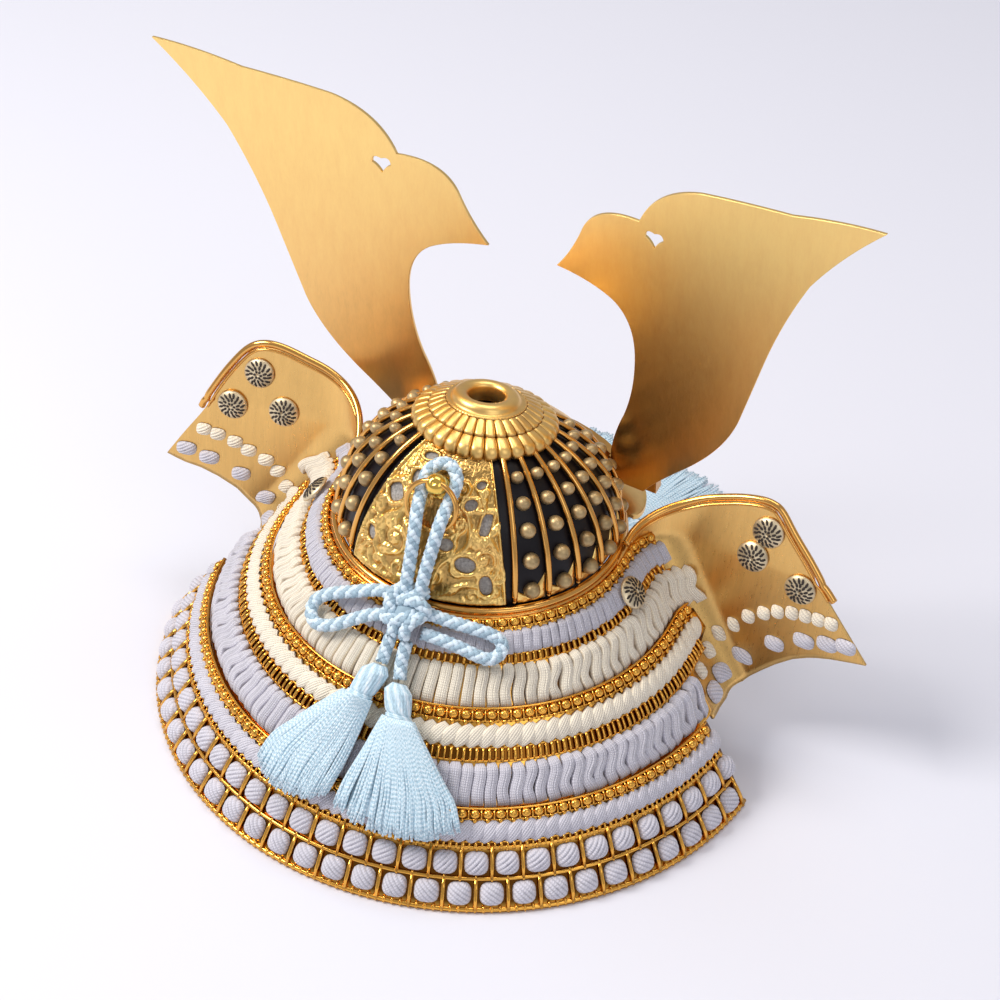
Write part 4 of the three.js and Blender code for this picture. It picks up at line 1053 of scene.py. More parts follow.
# leaves: across, up, direction, length, half width
LEAVES = [
    (-11, 20.5, 60, 3.2, 1.2), (-6, 19, 130, 3.0, 1.1), (-18.5, 13.5, 110, 2.8, 1.0),
    (-16.5, 22.5, 70, 2.8, 1.0), (-12, 11, 200, 2.6, 1.0), (-20.5, 6.5, 70, 2.4, 0.9),
    (-8, 3.9, 10, 2.6, 0.9), (-4.4, 16, 250, 2.4, 0.9), (-10.8, 31, 45, 2.4, 0.9),
    (-2.5, 30, 100, 2.4, 0.9), (-15, 14.5, 330, 2.2, 0.9), (-2.2, 8.5, 80, 2.4, 0.9),
    (6.5, 20.4, 60, 3.0, 1.1), (12.5, 21, 120, 2.6, 1.0), (16.8, 12.2, 30, 2.4, 0.9),
    (11, 16.4, 20, 2.2, 0.8), (7, 16.2, 110, 2.4, 0.9), (19.8, 6.8, 120, 2.4, 0.9),
    (9.5, 6.4, 40, 2.6, 0.9), (6, 29, 70, 2.4, 0.9), (10.5, 34.4, 150, 2.2, 0.8),
    (17.5, 24.3, 60, 2.0, 0.8), (1.2, 6.6, 140, 2.2, 0.8), (15.5, 20, 250, 2.0, 0.8),
]
# buds: across, up, size
BUDS = [
    (-9.3, 15.4, 1.5), (8, 24.6, 1.1), (-5.3, 26.6, 1.1), (15.8, 15.5, 1.1), (-14, 6.9, 1.1),
    (9.4, 12.6, 1.0),
]


def panel_place(angle, height):
    """Place on the panel laid flat, in mm across and up."""
    t = np.arcsin(height / BOWL_HEIGHT)
    return np.radians(angle) * BOWL_RADIUS * np.cos(t), PANEL_SCALE * t


def distance_to(x, y, line):
    """Distance from each point to a polyline."""
    best = np.full(x.shape, 99.0)
    for (ax, ay), (bx, by) in zip(line[:-1], line[1:]):
        dx, dy = bx - ax, by - ay
        t = np.clip(((x - ax) * dx + (y - ay) * dy) / (dx * dx + dy * dy + 1e-9), 0, 1)
        best = np.minimum(best, np.hypot(x - ax - t * dx, y - ay - t * dy))
    return best


def curl(cx, cy, size, start, turns):
    share = np.linspace(0, 1, 22)
    a = np.radians(start) + share * turns * 2 * math.pi
    r = size * (1 - 0.8 * share**0.8)
    return np.stack([cx + r * np.cos(a), cy + r * np.sin(a)], 1)


def turned(x, y, degrees):
    """The same places along and across a direction."""
    t = math.radians(degrees)
    return x * math.cos(t) + y * math.sin(t), -x * math.sin(t) + y * math.cos(t)


def hole_measure(x, y, hole):
    """Below one inside the hole, one on its edge."""
    angle, height, wide, tall, turn, square = hole
    cx, cy = panel_place(angle, height)
    p, q = turned(x - cx, y - cy, turn)
    return (np.abs(p / wide) ** square + np.abs(q / tall) ** square) ** (1 / square)


def panel_relief(x, y):
    relief = np.zeros(x.shape)
    for stem in STEMS:
        d = distance_to(x, y, curl(*stem))
        relief = np.maximum(relief, 0.8 * np.exp(-((d / 0.55) ** 2)))
    for vine in VINES:
        line = smooth_path([(*p, 0) for p in vine], 40)[:, :2]
        d = distance_to(x, y, line)
        relief = np.maximum(relief, 0.9 * np.exp(-((d / 0.68) ** 2)))
    for cx, cy, turn, length, wide in LEAVES:
        p, q = turned(x - cx, y - cy, turn)
        p = p / (1.2 * length)
        q = q / (1.3 * wide * (1.15 - 0.55 * p))
        body = np.clip(1 - p * p - q * q, 0, None) ** 0.4
        veins = 0.12 * np.sin(9 * p + 5 * np.abs(q)) + 0.3 * np.exp(-((q / 0.14) ** 2))
        relief = np.maximum(relief, body * (0.95 - veins))
    for cx, cy, size in BUDS:
        d = np.hypot(x - cx, y - cy) / size
        a = np.arctan2(y - cy, x - cx)
        body = np.clip(1 - (d / (1 + 0.15 * np.cos(6 * a))) ** 2, 0, None) ** 0.5
        relief = np.maximum(relief, body * (1.0 - 0.25 * np.abs(np.sin(3 * a))))
    for hole in PIERCINGS:
        m = hole_measure(x, y, hole)
        relief = np.maximum(relief, 0.7 * np.exp(-(((m - 1.28) / 0.2) ** 2)))
    return relief


def panel_parts():
    nu, nv = 176, 140
    share = np.linspace(0, 1, nv)
    half = PANEL_LOW + (PANEL_HIGH - PANEL_LOW) * share
    height = PANEL_LOWEST + (PANEL_TOP - PANEL_LOWEST) * np.sin(share * math.pi / 2)
    across = np.linspace(-1, 1, nu)
    angle = across[:, None] * half
    height = np.broadcast_to(height, angle.shape)
    x, y = panel_place(angle, height)
    relief = panel_relief(x, y)
    border = np.minimum(np.abs(1 - np.abs(across))[:, None] * 22, np.minimum(share, 1 - share)[None] * 38)
    relief = np.maximum(relief, 0.8 * np.exp(-(((border - 0.5) / 0.4) ** 2)))
    grain = 0.13 * np.sin(x * 3.1 + 2.4 * np.sin(y * 1.7)) * np.sin(y * 2.9 + 2.2 * np.sin(x * 1.9))
    face = on_bowl(angle, height, 0.85 + 1.2 * relief + grain)
    # Painted shade: the ground between the relief is darker the lower it lies, and the walls of the
    # piercings are dark too.
    cavity_shade = np.clip(1 - relief / 0.42, 0, 1) ** 1.5 * 0.55
    points, faces, uv, dark = grid_part(face, cavity_shade=cavity_shade)
    flat = np.stack([x.ravel(), y.ravel()], 1)
    inside = np.zeros(len(flat), bool)
    for hole in PIERCINGS:
        inside |= hole_measure(flat[:, 0], flat[:, 1], hole) < 1
    faces = faces[~inside[faces].any(1)]
    edges = np.sort(np.concatenate([faces[:, [i, (i + 1) % 4]] for i in range(4)]), 1)
    single, count = np.unique(edges, axis=0, return_counts=True)
    rim = single[count == 1]
    on_rim = np.unique(rim)
    heights = height.ravel()
    angles = angle.ravel()
    for hole in PIERCINGS:
        m = hole_measure(flat[on_rim, 0], flat[on_rim, 1], hole)
        near = on_rim[m < 1.45]
        m = m[m < 1.45]
        cx, cy = panel_place(hole[0], hole[1])
        spot = np.array([cx, cy]) + (flat[near] - [cx, cy]) / m[:, None]
        tilt = spot[:, 1] / PANEL_SCALE
        up = BOWL_HEIGHT * np.sin(tilt)
        turn = np.degrees(spot[:, 0] / (BOWL_RADIUS * np.cos(tilt)))
        heights[near] = up
        angles[near] = turn
        points[near] = on_bowl(turn, up, PANEL_EDGE)
    low = on_bowl(angles[on_rim], heights[on_rim], PANEL_FOOT)
    index = {v: len(points) + i for i, v in enumerate(on_rim)}
    walls = np.array([[a, b, index[b], index[a]] for a, b in rim])
    points = np.concatenate([points, low])
    uv = np.concatenate([uv, np.zeros((len(low), 2))])
    dark = np.concatenate([dark, np.full(len(low), 0.7)])
    return [(points, np.concatenate([faces, walls]), uv, dark)]


def lining_parts():
    """Grey cloth lining that shows through the panel's openings, its grey darkened as painted shade deep in
    them.
    """
    share = np.linspace(0, 1, 30)[None]
    half = PANEL_LOW + (PANEL_HIGH - PANEL_LOW) * share - 1.6
    angle = np.linspace(-1, 1, 40)[:, None] * half
    height = 2.4 + 33.6 * np.sin(share * math.pi / 2) + 0 * angle
    return [sheet_part(on_bowl(angle, height, 0.3), on_bowl(angle, height, 0.1))]


def front_panel_parts():
    angle = 180 + np.linspace(-FRONT_HALF, FRONT_HALF, 60)[:, None]
    share = np.linspace(0, 1, 40)[None]
    height = PANEL_LOWEST + (FRONT_TOP - PANEL_LOWEST) * np.sin(share * math.pi / 2)
    angle = 180 + (angle - 180) * (1 - 0.1 * share)
    rim = np.minimum(1, np.minimum(share, 1 - share) * 14)
    face = on_bowl(angle, height, 1.2 + 0.3 * (1 - rim))
    return [sheet_part(face, on_bowl(angle, height, PANEL_FOOT))]


# Painted shade: the lining's grey is partly the cloth's own colour and partly made darker to stand for the
# shade deep in the openings.
lining = Shader("grey_lining", (0.3, 0.29, 0.28), 0.9)
weave = lining.grain(1500)
lining.paint(lining.ramp(weave, [(0.3, (0.2, 0.19, 0.18)), (0.7, (0.46, 0.44, 0.42))]))
lining.bump(weave, 0.4, 0.1)
piece("arabesque_panel", panel_parts(), cast_yellow, ["back_panel"], on_crown=True)
piece("panel_lining", lining_parts(), lining.material, ["back_panel"], on_crown=True)
piece("brow_panel", front_panel_parts(), matt_gold, ["front_panel"], on_crown=True)

# ---- finial, knob and ring ----------------------------------------------------------------
PETALS = 32
FINIAL_BEADS = 72
BEAD_RING = (11.1, 108.4)
KNOB_HEIGHT = 30
RING_RADIUS = 7.2
RING_WIRE = 0.75


def finial_parts():
    """Petalled disc: rows of radius, z and painted shade round the axis, each a function of the angle."""
    a = full_turn(PETALS * 12)
    phase = np.abs(np.mod(a * PETALS / (2 * math.pi), 1) - 0.5) * 2
    tip = (1 - phase**2.6) ** 0.5
    crown = 1 - phase**2
    groove = np.exp(-(((1 - phase) / 0.13) ** 2))
    rows = []

    def row(r, z, dark=0.0):
        rows.append(np.broadcast_arrays(r + 0 * a, z + 0 * a, dark + 0 * a))

    collar = [
        (5.2, 104.7), (5.2, 109.8), (5.5, 110.5), (6.2, 111.1), (7.2, 111.3), (8.2, 111.1),
        (9.0, 110.5), (9.5, 109.7), (9.7, 109.1), (10.3, 108.7), (10.8, 108.8), (11.2, 108.5),
    ]
    for r, z in collar:
        row(r, z)
    # Painted shade: the grooves between the petals, the steps under them and the underside are darkened.
    row(11.3, 108.1, 0.8)
    first = 15.1 + 0.9 * tip
    for k in np.linspace(0, 1, 8):
        z = 108.2 - 2.5 * k**1.15 + 0.16 * crown - 0.34 * groove
        row(11.6 + (first - 11.6) * k, z, 0.75 * groove)
    row(first + 0.12, 105.2, 0.45)
    row(first + 0.16, 104.8, 0.9)
    second = 18.9 + 0.8 * tip
    for k in np.linspace(0, 1, 8):
        z = 104.9 - 1.7 * k**1.3 + 0.2 * crown - 0.4 * groove
        row(first + 0.3 + (second - first - 0.3) * k, z, 0.75 * groove)
    row(second + 0.5 + 0.3 * crown, 102.4, 0.3 * groove)
    row(second + 0.75 + 0.35 * crown, 101.2, 0.2 + 0.6 * groove)
    row(second + 0.8 + 0.35 * crown, 100.2, 0.3)
    row(second + 0.6 + 0.3 * crown, 99.8, 0.5)
    row(19.4, 99.95, 0.5)
    row(12.0, 103.1, 0.5)
    r, z, dark = (np.array([line[i] for line in rows]) for i in range(3))
    points = np.stack([r * np.sin(a), -r * np.cos(a), z], -1)
    parts = [grid_part(points, wrap_u=True, wrap_v=True, cavity_shade=dark)]
    bead = dome_part([(0, -0.1), (0.3, 0.05), (0.24, 0.24), (0, 0.32)], 6)
    radius, z = BEAD_RING
    for k in range(FINIAL_BEADS):
        turn = 2 * math.pi * k / FINIAL_BEADS
        spot = (radius * math.sin(turn), -radius * math.cos(turn), z)
        parts.append(place(bead, spot, (0, 0, 1), up=(1, 0, 0)))
    return parts


piece("tehen_petals", finial_parts(), matt_gold, ["tehen_finial"], sharp=50, on_crown=True)

knob_foot = on_bowl(0, KNOB_HEIGHT, 6.5)
knob_normal = on_bowl(0, KNOB_HEIGHT, 7.5) - knob_foot


def knob_parts():
    ball = [(0, -2.9), (1.6, -2.7), (2.7, -1.6), (3.15, 0), (2.8, 1.5), (1.7, 2.6), (0, 3.1)]
    return [place(dome_part(ball, 32), knob_foot, knob_normal)]


def knob_stem_parts():
    stem = [(0, -4.6), (1.2, -4.6), (1.2, -2.4), (0, -2.4)]
    flange = [(0, -4.7), (3.4, -4.7), (3.3, -4.3), (2.4, -3.9), (0, -3.8)]
    return [place(dome_part(p, 24), knob_foot, knob_normal) for p in (stem, flange)]


def ring_parts():
    top = on_bowl(0, KNOB_HEIGHT, 8.0)
    up = unit(top - on_bowl(0, 21, 2.75))
    centre = top + up * (0.6 - RING_RADIUS)
    a = np.linspace(0, 2 * math.pi, 73)
    level = np.array([RING_RADIUS, 0, 0])
    line = centre + np.sin(a)[:, None] * level + np.cos(a)[:, None] * up * RING_RADIUS
    return [tube_part(line, RING_WIRE, 12, ends=False)]


knob_gold = polished_gold("knob_gold", (0.9, 0.58, 0.12), 0.14)
piece("kan_ball", knob_parts(), knob_gold, ["kan_knob"], on_crown=True)
piece("kan_foot", knob_stem_parts(), knob_gold, ["kan_knob"], on_crown=True)
piece("kan_wire", ring_parts(), wire_gold, ["kan_ring"], on_crown=True)

# ---- lames with their beads and bars ------------------------------------------------------
# (lame, surface, upper z, lower z, angle at its ends, the way it is made) of each open gold row
GOLD_ROWS = [
    ("top", flap_radius, 62.2, 59.5, 107, "beads"),
    ("top", flap_radius, 54.2, 52.1, 106, "bars"),
    ("middle", lame_radius[1], 44.2, 41.2, 102.6, "beads"),
    ("middle", lame_radius[1], 36.0, 33.0, 98.6, "bars"),
    ("bottom", lame_radius[2], 24.5, 21.7, 81.4, "beads"),
    ("bottom", lame_radius[2], 16.9, 15.3, 81.4, "bars"),
]
KNOTS = 30
KNOT_END = 80.9
# (z, index of the first knot)
KNOT_ROWS = [(11.85, 0), (4.6, 1)]
PITCH = 3.5
RAIL_STEPS = 170
LAME_STEPS = 121
LAME_WALL = 0.9
BEAD_PROFILE = [(0, -0.9), (1.1, -0.6), (1.5, 0.1), (1.25, 0.7), (0.7, 1.08), (0, 1.2)]


def lame_end(index, z):
    heights, ends = np.array(LAME_ENDS[index], float).T
    return np.interp(z, heights, ends)


def skirt_bar(radius, angle, high, low, size, lift, lean=0.0):
    """A small upright bar on a skirt surface."""
    share = np.linspace(0, 1, 4)
    z = high + (low - high) * share
    turn = angle + degrees_at(radius, z, angle) * lean * (0.5 - share)
    out = lift * np.array([0.5, 1, 1, 0.5])
    return tube_part(skirt_out(radius, turn, z, out), size, 6)


def rail_part(radius, end, z, out, size, around=6):
    """A level wire on a skirt surface, from one end to the other."""
    angle = np.linspace(-end, end, RAIL_STEPS)
    line = skirt_out(radius, angle, np.full(RAIL_STEPS, z), np.full(RAIL_STEPS, out))
    return tube_part(line, size, around)


def row_parts(radius, high, low, end, kind):
    """A row of gold beads or bars between two rails; below each bead is a pointed tooth."""
    parts = []
    middle = (high + low) / 2
    angles = np.array(steps_along(radius, middle, end - 0.6, PITCH))
    half = degrees_at(radius, middle, angles) * PITCH / 2
    for angle, step in zip(angles, half):
        if kind == "beads":
            parts.append(skirt_bar(radius, angle, high - 0.2, low, 0.3, 0.75, lean=0.1))
            spot = skirt_out(radius, angle + step, middle + 0.2, 0.5)
            normal = skirt_normal(radius, angle + step, middle)
            parts.append(place(dome_part(BEAD_PROFILE, 11), spot, normal, scale=(1, 0.92, 1)))
            z = np.array([low + 0.5, low - 0.2, low - 0.9])
            tooth = skirt_out(radius, np.full(3, angle + step), z, np.array([0.5, 0.5, 0.25]))
            parts.append(tube_part(tooth, [0.85, 0.6, 0.12], 6))
        else:
            parts.append(skirt_bar(radius, angle, high + 0.1, low - 0.1, 0.55, 0.75, lean=0.2))
            parts.append(skirt_bar(radius, angle + step, high + 0.1, low - 0.1, 0.42, 0.55, lean=0.2))
    rails = [(high, 0.36), (low + 0.3, 0.3)] if kind == "beads" else [(high, 0.34), (low, 0.34)]
    return parts + [rail_part(radius, end, z, 0.3, size) for z, size in rails]


def knot_angles(first):
    return np.linspace(-KNOT_END, KNOT_END, 2 * KNOTS - 1)[first::2]


def cell_parts():
    """Upright ridges between the knots, and thin ones that part the hollows above and below them."""
    parts = []
    radius = lame_radius[2]
    for (middle, first), (high, low) in zip(KNOT_ROWS, ((16.0, 8.1), (8.4, 0.6))):
        for angle in knot_angles(1 - first):
            parts.append(skirt_bar(radius, angle, high, low, 0.62, 0.85))
        for angle in knot_angles(first):
            parts.append(skirt_bar(radius, angle, high, middle + 3, 0.42, 0.6))
            parts.append(skirt_bar(radius, angle, middle - 3, low, 0.42, 0.6))
    for z, size in ((8.2, 0.62), (15.6, 0.5)):
        parts.append(rail_part(radius, KNOT_END, z, 0.35, size))
    for angle in np.linspace(-KNOT_END, KNOT_END, 4 * KNOTS - 3):
        parts.append(skirt_bar(radius, angle, 1.6, 0.2, 0.5, 0.5))
    return parts


def lame_parts(index, name):
    line = LAME_LINES[index]
    radius = lame_radius[index]
    high, low = line[0][1], line[-1][1]
    z = np.linspace(high, low, 40)
    end = lame_end(index, z)
    angle = np.linspace(-1, 1, LAME_STEPS)[:, None] * end
    # Painted shade: the recessed bands behind the bead and bar rows, and the knot field of the bottom lame,
    # are darkened.
    cavity_shade = np.zeros(len(z))
    for owner, _, top, foot, _, _ in GOLD_ROWS:
        if owner == name:
            cavity_shade = np.maximum(cavity_shade, np.clip(np.minimum(top - z, z - foot) * 4 + 0.4, 0, 1))
    if index == 2:
        cavity_shade = np.maximum(cavity_shade, np.clip(np.minimum(15 - z, z - 1.6) * 2, 0, 1))
    cavity_shade[-2:] = 0
    face = skirt_out(radius, angle, z[None], np.zeros(angle.shape))
    back = skirt_out(radius, angle, z[None], np.full(angle.shape, -LAME_WALL))
    back[..., 2] = np.maximum(back[..., 2], 0.0)
    dark = np.broadcast_to(cavity_shade * 0.92, angle.shape)
    parts = [sheet_part(face, back, cavity_shade=dark)]
    for owner, surface, top, foot, stop, kind in GOLD_ROWS:
        if owner == name:
            parts += row_parts(surface, top, foot, stop, kind)
    if index == 2:
        parts += cell_parts()
        parts.append(rail_part(radius, 82, 0.75, 0.0, 0.7, 8))
    return parts


for index, name in enumerate(("top", "middle", "bottom")):
    piece("lame_relief_" + name, lame_parts(index, name), bead_gold, ["lame_" + name])


# ---- lacing -------------------------------------------------------------------------------
def strap_section(ribs, count=15):
    """Section of a ribbon: across from -1 to 1 and out from 0 to 1, closed, with its UV."""
    a = np.linspace(0, math.pi, count)
    across = -np.sign(np.cos(a)) * np.abs(np.cos(a)) ** 0.85
    out = np.sin(a) ** 0.5 * (0.9 + 0.13 * np.abs(np.sin(math.pi * ribs * (across + 1) / 2)) ** 0.6)
    return np.append(across, [0.5, -0.5]), np.append(out, [0, 0]), np.append((across + 1) / 2, [1, 0])


def strand_part(radius, angle, high, low, wide, thick, seed, wave=0.0, lean=0.0, kind="ribbon"):
    """One strand of lacing that comes out at the top, swells and goes in below."""
    draw = np.random.default_rng(seed)
    steps = 13 if kind == "ribbon" else 11
    if high - low < 6:
        steps = 8
    t = np.linspace(0, 1, steps)
    z = high + (low - high) * t
    unit = degrees_at(radius, z, angle)
    phase = draw.uniform(-0.6, 0.6)
    side = wave * np.sin(2 * math.pi * (t * 0.95 + 0.05) + phase) * np.sin(math.pi * t) ** 0.5
    turn = angle + unit * (side + lean * (0.5 - t))
    if kind == "ribbon":
        swell = 1 - (1 - np.clip(t / 0.16, 0, 1)) ** 2 * 0.95
        swell = swell * (1 - np.clip((t - 0.72) / 0.28, 0, 1) ** 2.2 * 0.75)
        size = wide * (0.62 + 0.38 * np.clip(t / 0.14, 0, 1) ** 0.6)
    else:
        swell = np.sin(math.pi * np.clip(t, 0.03, 0.97)) ** 0.55
        size = wide * (0.35 + 0.65 * np.sin(math.pi * np.clip(t, 0.02, 0.98)) ** 0.6)
    twist = draw.uniform(-0.1, 0.1) + wave * 0.18 * np.sin(2 * math.pi * t + phase)
    base = skirt_point(radius, turn, z)
    normal = skirt_normal(radius, turn, z)
    along = directions(base)
    across = np.cross(normal, along)
    across *= np.sign(across @ skirt_tangent(radius, angle, (high + low) / 2))[:, None]
    x, y, u = strap_section(4 if kind == "ribbon" else 3, 21 if kind == "ribbon" else 15)
    y = y * (1 + np.clip(x * twist.mean() * 2, -0.2, 0.2))
    points = base[:, None] + across[:, None] * (x[None, :, None] * size[:, None, None] / 2)
    rise = 0.15 + y[None] * (thick * swell)[:, None]
    points = points + normal[:, None] * rise[..., None]
    length = run_along(base)
    offset = draw.uniform(0, 3)
    uv = np.stack(np.broadcast_arrays(u[None], length[:, None] + offset), -1)
    return grid_part(points, wrap_v=True, uv=uv)


def skirt_tangent(radius, angle, z):
    return unit(skirt_point(radius, angle + NEAR, z) - skirt_point(radius, angle - NEAR, z))


def lacing_parts(radius, high, low, thick, start, end, pitch, wide, waves, seed, lean=0.0):
    """A band of ribbons side by side, wavier towards its ends."""
    parts = []
    middle = (high + low) / 2
    angle = start
    i = 0
    while angle < end:
        draw = np.random.default_rng(seed * 1000 + i)
        unit = float(degrees_at(radius, middle, angle))
        near = np.clip((abs(angle) - 22) / 30, 0, 1)
        loose = waves * (0.06 + near * draw.uniform(0.6, 1.3))
        width = wide * draw.uniform(0.93, 1.07)
        rise = draw.uniform(-0.15, 0.25)
        drop = draw.uniform(-0.25, 0.15)
        slant = lean + draw.uniform(-0.4, 0.4)
        parts.append(
            strand_part(
                radius, angle, high + rise, low + drop, width, thick * draw.uniform(0.9, 1.0),
                seed * 1000 + i, loose, slant,
            )
        )
        angle += pitch * unit * draw.uniform(0.96, 1.05)
        i += 1
    return parts


def stitch_parts(radius, high, low, thick, end, pitch, lean, seed):
    """A row of slanting stitches like a laid rope."""
    parts = []
    middle = (high + low) / 2
    for i, angle in enumerate(steps_along(radius, middle, end, pitch)):
        parts.append(
            strand_part(radius, angle, high, low, pitch * 1.2, thick, seed * 1000 + i, 0, lean, "stitch")
        )
    return parts


cream_band = lacing_parts(flap_radius, 52.2, 43.0, 2.6, -110.5, 111, 3.35, 3.3, 1.2, 1, lean=0.9)
piece("odoshi_cream", cream_band, cream_lacing, ["lacing_cream"])
lavender_band = lacing_parts(lame_radius[1], 32.7, 23.6, 2.6, -86.6, 86.6, 3.45, 3.45, 1.4, 2, lean=0.5)
piece("odoshi_lavender", lavender_band, lavender_lacing, ["lacing_lavender"])
thin_band = lacing_parts(flap_radius, 59.3, 54.1, 1.8, -107.3, 107.5, 2.6, 2.75, 0.1, 3, lean=0.5)
piece("odoshi_thin", thin_band, lavender_lacing, ["lacing_thin"])
stitches = stitch_parts(lame_radius[1], 40.6, 36.1, 1.8, 101, 3.5, 4.6, 4)
piece("uname_cream", stitches, cream_lacing, ["stitch_cream"])
stitches = stitch_parts(lame_radius[2], 21.6, 16.9, 1.8, 81, 3.5, 4.4, 5)
piece("uname_lavender", stitches, lavender_lacing, ["stitch_lavender"])


def knot_part(radius, angle, z, wide, tall, thick, slant, seed=0, shear=0.0):
    """A puffy square knot whose threads run at a slant."""
    draw = np.random.default_rng(seed)
    rings = np.linspace(0, 1, 12) ** 0.8
    a = full_turn(40)
    corner = (np.abs(np.cos(a)) ** 2.9 + np.abs(np.sin(a)) ** 2.9) ** (-1 / 2.9)
    x = rings[:, None] * (corner * np.cos(a))[None] * wide * draw.uniform(0.95, 1.04)
    y = rings[:, None] * (corner * np.sin(a))[None] * tall
    puff = (1 - rings**2.3)[:, None] ** 0.6
    t = math.radians(slant)
    across = x * math.cos(t) + y * math.sin(t)
    groove = 0.88 + 0.2 * np.abs(np.sin(across * math.pi / 1.15)) ** 0.7
    unit = degrees_at(radius, z, angle)
    slope = np.linalg.norm(skirt_point(radius, angle, z + 1) - skirt_point(radius, angle, z))
    out = 0.15 + thick * puff * groove
    points = skirt_out(radius, angle + unit * x + shear * y / slope, z + y / slope, out)
    uv = np.stack([across / 6.9, (-x * math.sin(t) + y * math.cos(t))], -1)
    return grid_part(points, wrap_v=True, uv=uv)


def knot_row(middle, first, slant):
    radius = lame_radius[2]
    return [
        knot_part(radius, a, middle, 3.4, 3.35, 2.5, slant + 8 * math.sin(5 * i), i)
        for i, a in enumerate(knot_angles(first))
    ]


for (middle, first), part, slant in zip(KNOT_ROWS, ("upper", "lower"), (-48, 48)):
    knots = knot_row(middle, first, slant)
    piece("hishi_" + part, knots, lavender_lacing, ["knots_" + part])

# ---- turned-back plates -------------------------------------------------------------------
# Places on the plates are mm along them from the start of their fold, and z.
# FLAP_EDGES has (along, lower z, upper z).
FLAP_EDGES = {
    "left": [
        (-9.4, 19.5, 61.4), (-5.4, 19.6, 62.4), (0, 19.8, 64.4), (8, 22.4, 68.8),
        (16.3, 26.4, 72.8), (23.7, 30.1, 75.4), (32.9, 33.3, 78.4), (40.4, 35.3, 80.5),
        (46.4, 36.2, 80.5), (50.4, 37.2, 78.2), (54.3, 38.3, 73.2), (57, 47, 69.2),
        (59.2, 55.4, 65.2), (60.6, 59.6, 62.4),
    ],
    "right": [
        (-9.4, 18.9, 61.4), (-5.4, 19.0, 62.4), (0, 18.6, 64.0), (8, 20.6, 66.0),
        (17.4, 25.8, 69.6), (25.7, 30.2, 73.4), (33.7, 34.0, 76.7), (40.2, 36.4, 78.4),
        (43.8, 37.5, 78.4), (49.4, 38.9, 73.2), (56, 40.2, 66.4), (60.4, 41.0, 61.6),
        (61.6, 41.2, 56.2),
    ],
}
# (along, z) of the rolled rim, the studs and the knots
FLAP_RIM = {
    "left": [
        (-2.4, 65.6), (2, 67.4), (8, 71.2), (14, 74.2), (20.1, 76.5), (30.8, 79.8), (40.3, 82.5),
        (46.6, 82.6), (51.4, 80), (56.4, 73.5), (60.7, 66.2), (62.8, 61.4), (61.6, 58.2),
    ],
    "right": [
        (-2.4, 65.6), (2, 66.4), (9.1, 68.4), (17.7, 71.6), (25.7, 75.3), (33.7, 78.6), (40.2, 80.3),
        (44.4, 80.3), (47.4, 78.7), (52.2, 73.4), (58.9, 66.6), (63.2, 61.4), (63.8, 57.6),
    ],
}
FLAP_STUDS = {
    "left": [(46.8, 73.2), (54.4, 61.4), (38.1, 62.2)],
    "right": [(44.6, 71.7), (54, 58.0), (41.6, 62.8)],
}
CREAM_KNOTS = {
    "left": [
        (-3.4, 28.8), (4.3, 31), (12, 35.6), (19.5, 39.9), (26.5, 43.2), (34.3, 45.5),
        (40.8, 47.7), (47.9, 49.3), (53.2, 50.2),
    ],
    "right": [
        (-3.4, 28.8), (4.3, 30.5), (10.6, 34.1), (18, 38), (26.2, 42.6), (33.4, 45.7),
        (39.4, 47.9), (44.9, 49.3), (49.6, 50), (53.9, 50.4), (58, 50.6),
    ],
}
LAVENDER_KNOTS = {
    "left": [(-3.2, 22.9), (4.4, 24.8), (13.1, 29.2), (27.9, 36.1), (41.9, 39.9), (51, 41.7)],
    "right": [
        (-3.6, 22.5), (3.6, 24.2), (13.7, 28.6), (30.1, 36.9), (42.8, 41.6), (51.5, 43.5),
        (58.2, 44.9),
    ],
}


def on_flap(sign, s, z, out):
    s, z, out = arrays(s, z, out)
    return skirt_out(flap_radius, sign * (90 + FOLD_START + s), z, out)


def flap_parts(name, sign):
    edge = np.array(FLAP_EDGES[name])
    s = np.linspace(edge[0, 0], edge[-1, 0], 90)
    low = np.interp(s, edge[:, 0], edge[:, 1])
    high = np.interp(s, edge[:, 0], edge[:, 2]) + 1.4 * np.clip(s / 4, 0, 1)
    share = np.linspace(0, 1, 34)
    z = low[:, None] + (high - low)[:, None] * share
    along = np.broadcast_to(s[:, None], z.shape)
    rim = smooth_path([(*p, 0) for p in FLAP_RIM[name]], 80)[:, :2]
    gap = distance_to(along, z, rim)
    # Painted shade: a dark line in the groove beside the rolled rim.
    cavity_shade = np.clip(1.6 - np.abs(gap - 1.5) * 1.8, 0, 1) * (s > -1)[:, None] * 0.95
    face = on_flap(sign, along, z, 0)
    back = on_flap(sign, along, z, -FLAP_WALL)
    return [sheet_part(face, back, cavity_shade=cavity_shade)]


def rim_parts(name, sign):
    line = smooth_path([(*p, 0) for p in FLAP_RIM[name]], 110)[:, :2]
    outer = on_flap(sign, line[:, 0], line[:, 1], -FLAP_WALL / 2)
    step = directions(line)
    inset = line + np.stack([step[:, 1], -step[:, 0]], 1) * 1.75
    inner = on_flap(sign, inset[:, 0], inset[:, 1], 0.25)
    return [tube_part(outer, 1.08, 12), tube_part(inner[6:], 0.42, 8)]


def medallion_part(radius, angle, z):
    """Domed chrysanthemum disc."""
    foot = skirt_point(radius, angle, z)
    normal = skirt_normal(radius, angle, z)
    return place(dome_part(DISC, 32), foot, normal)


# (radius of the ring, slots in it, half a slot's length)
SLOT_RINGS = [(1.05, 6, 0.4), (2.2, 11, 0.6), (3.5, 16, 0.7)]
DISC = [(0, 0.2), (4.7, 0.2), (4.8, 0.5), (4.45, 0.98), (3.3, 1.6), (1.75, 2.0), (0, 2.15)]
SIDE_STUD = (83.6, 57.6)


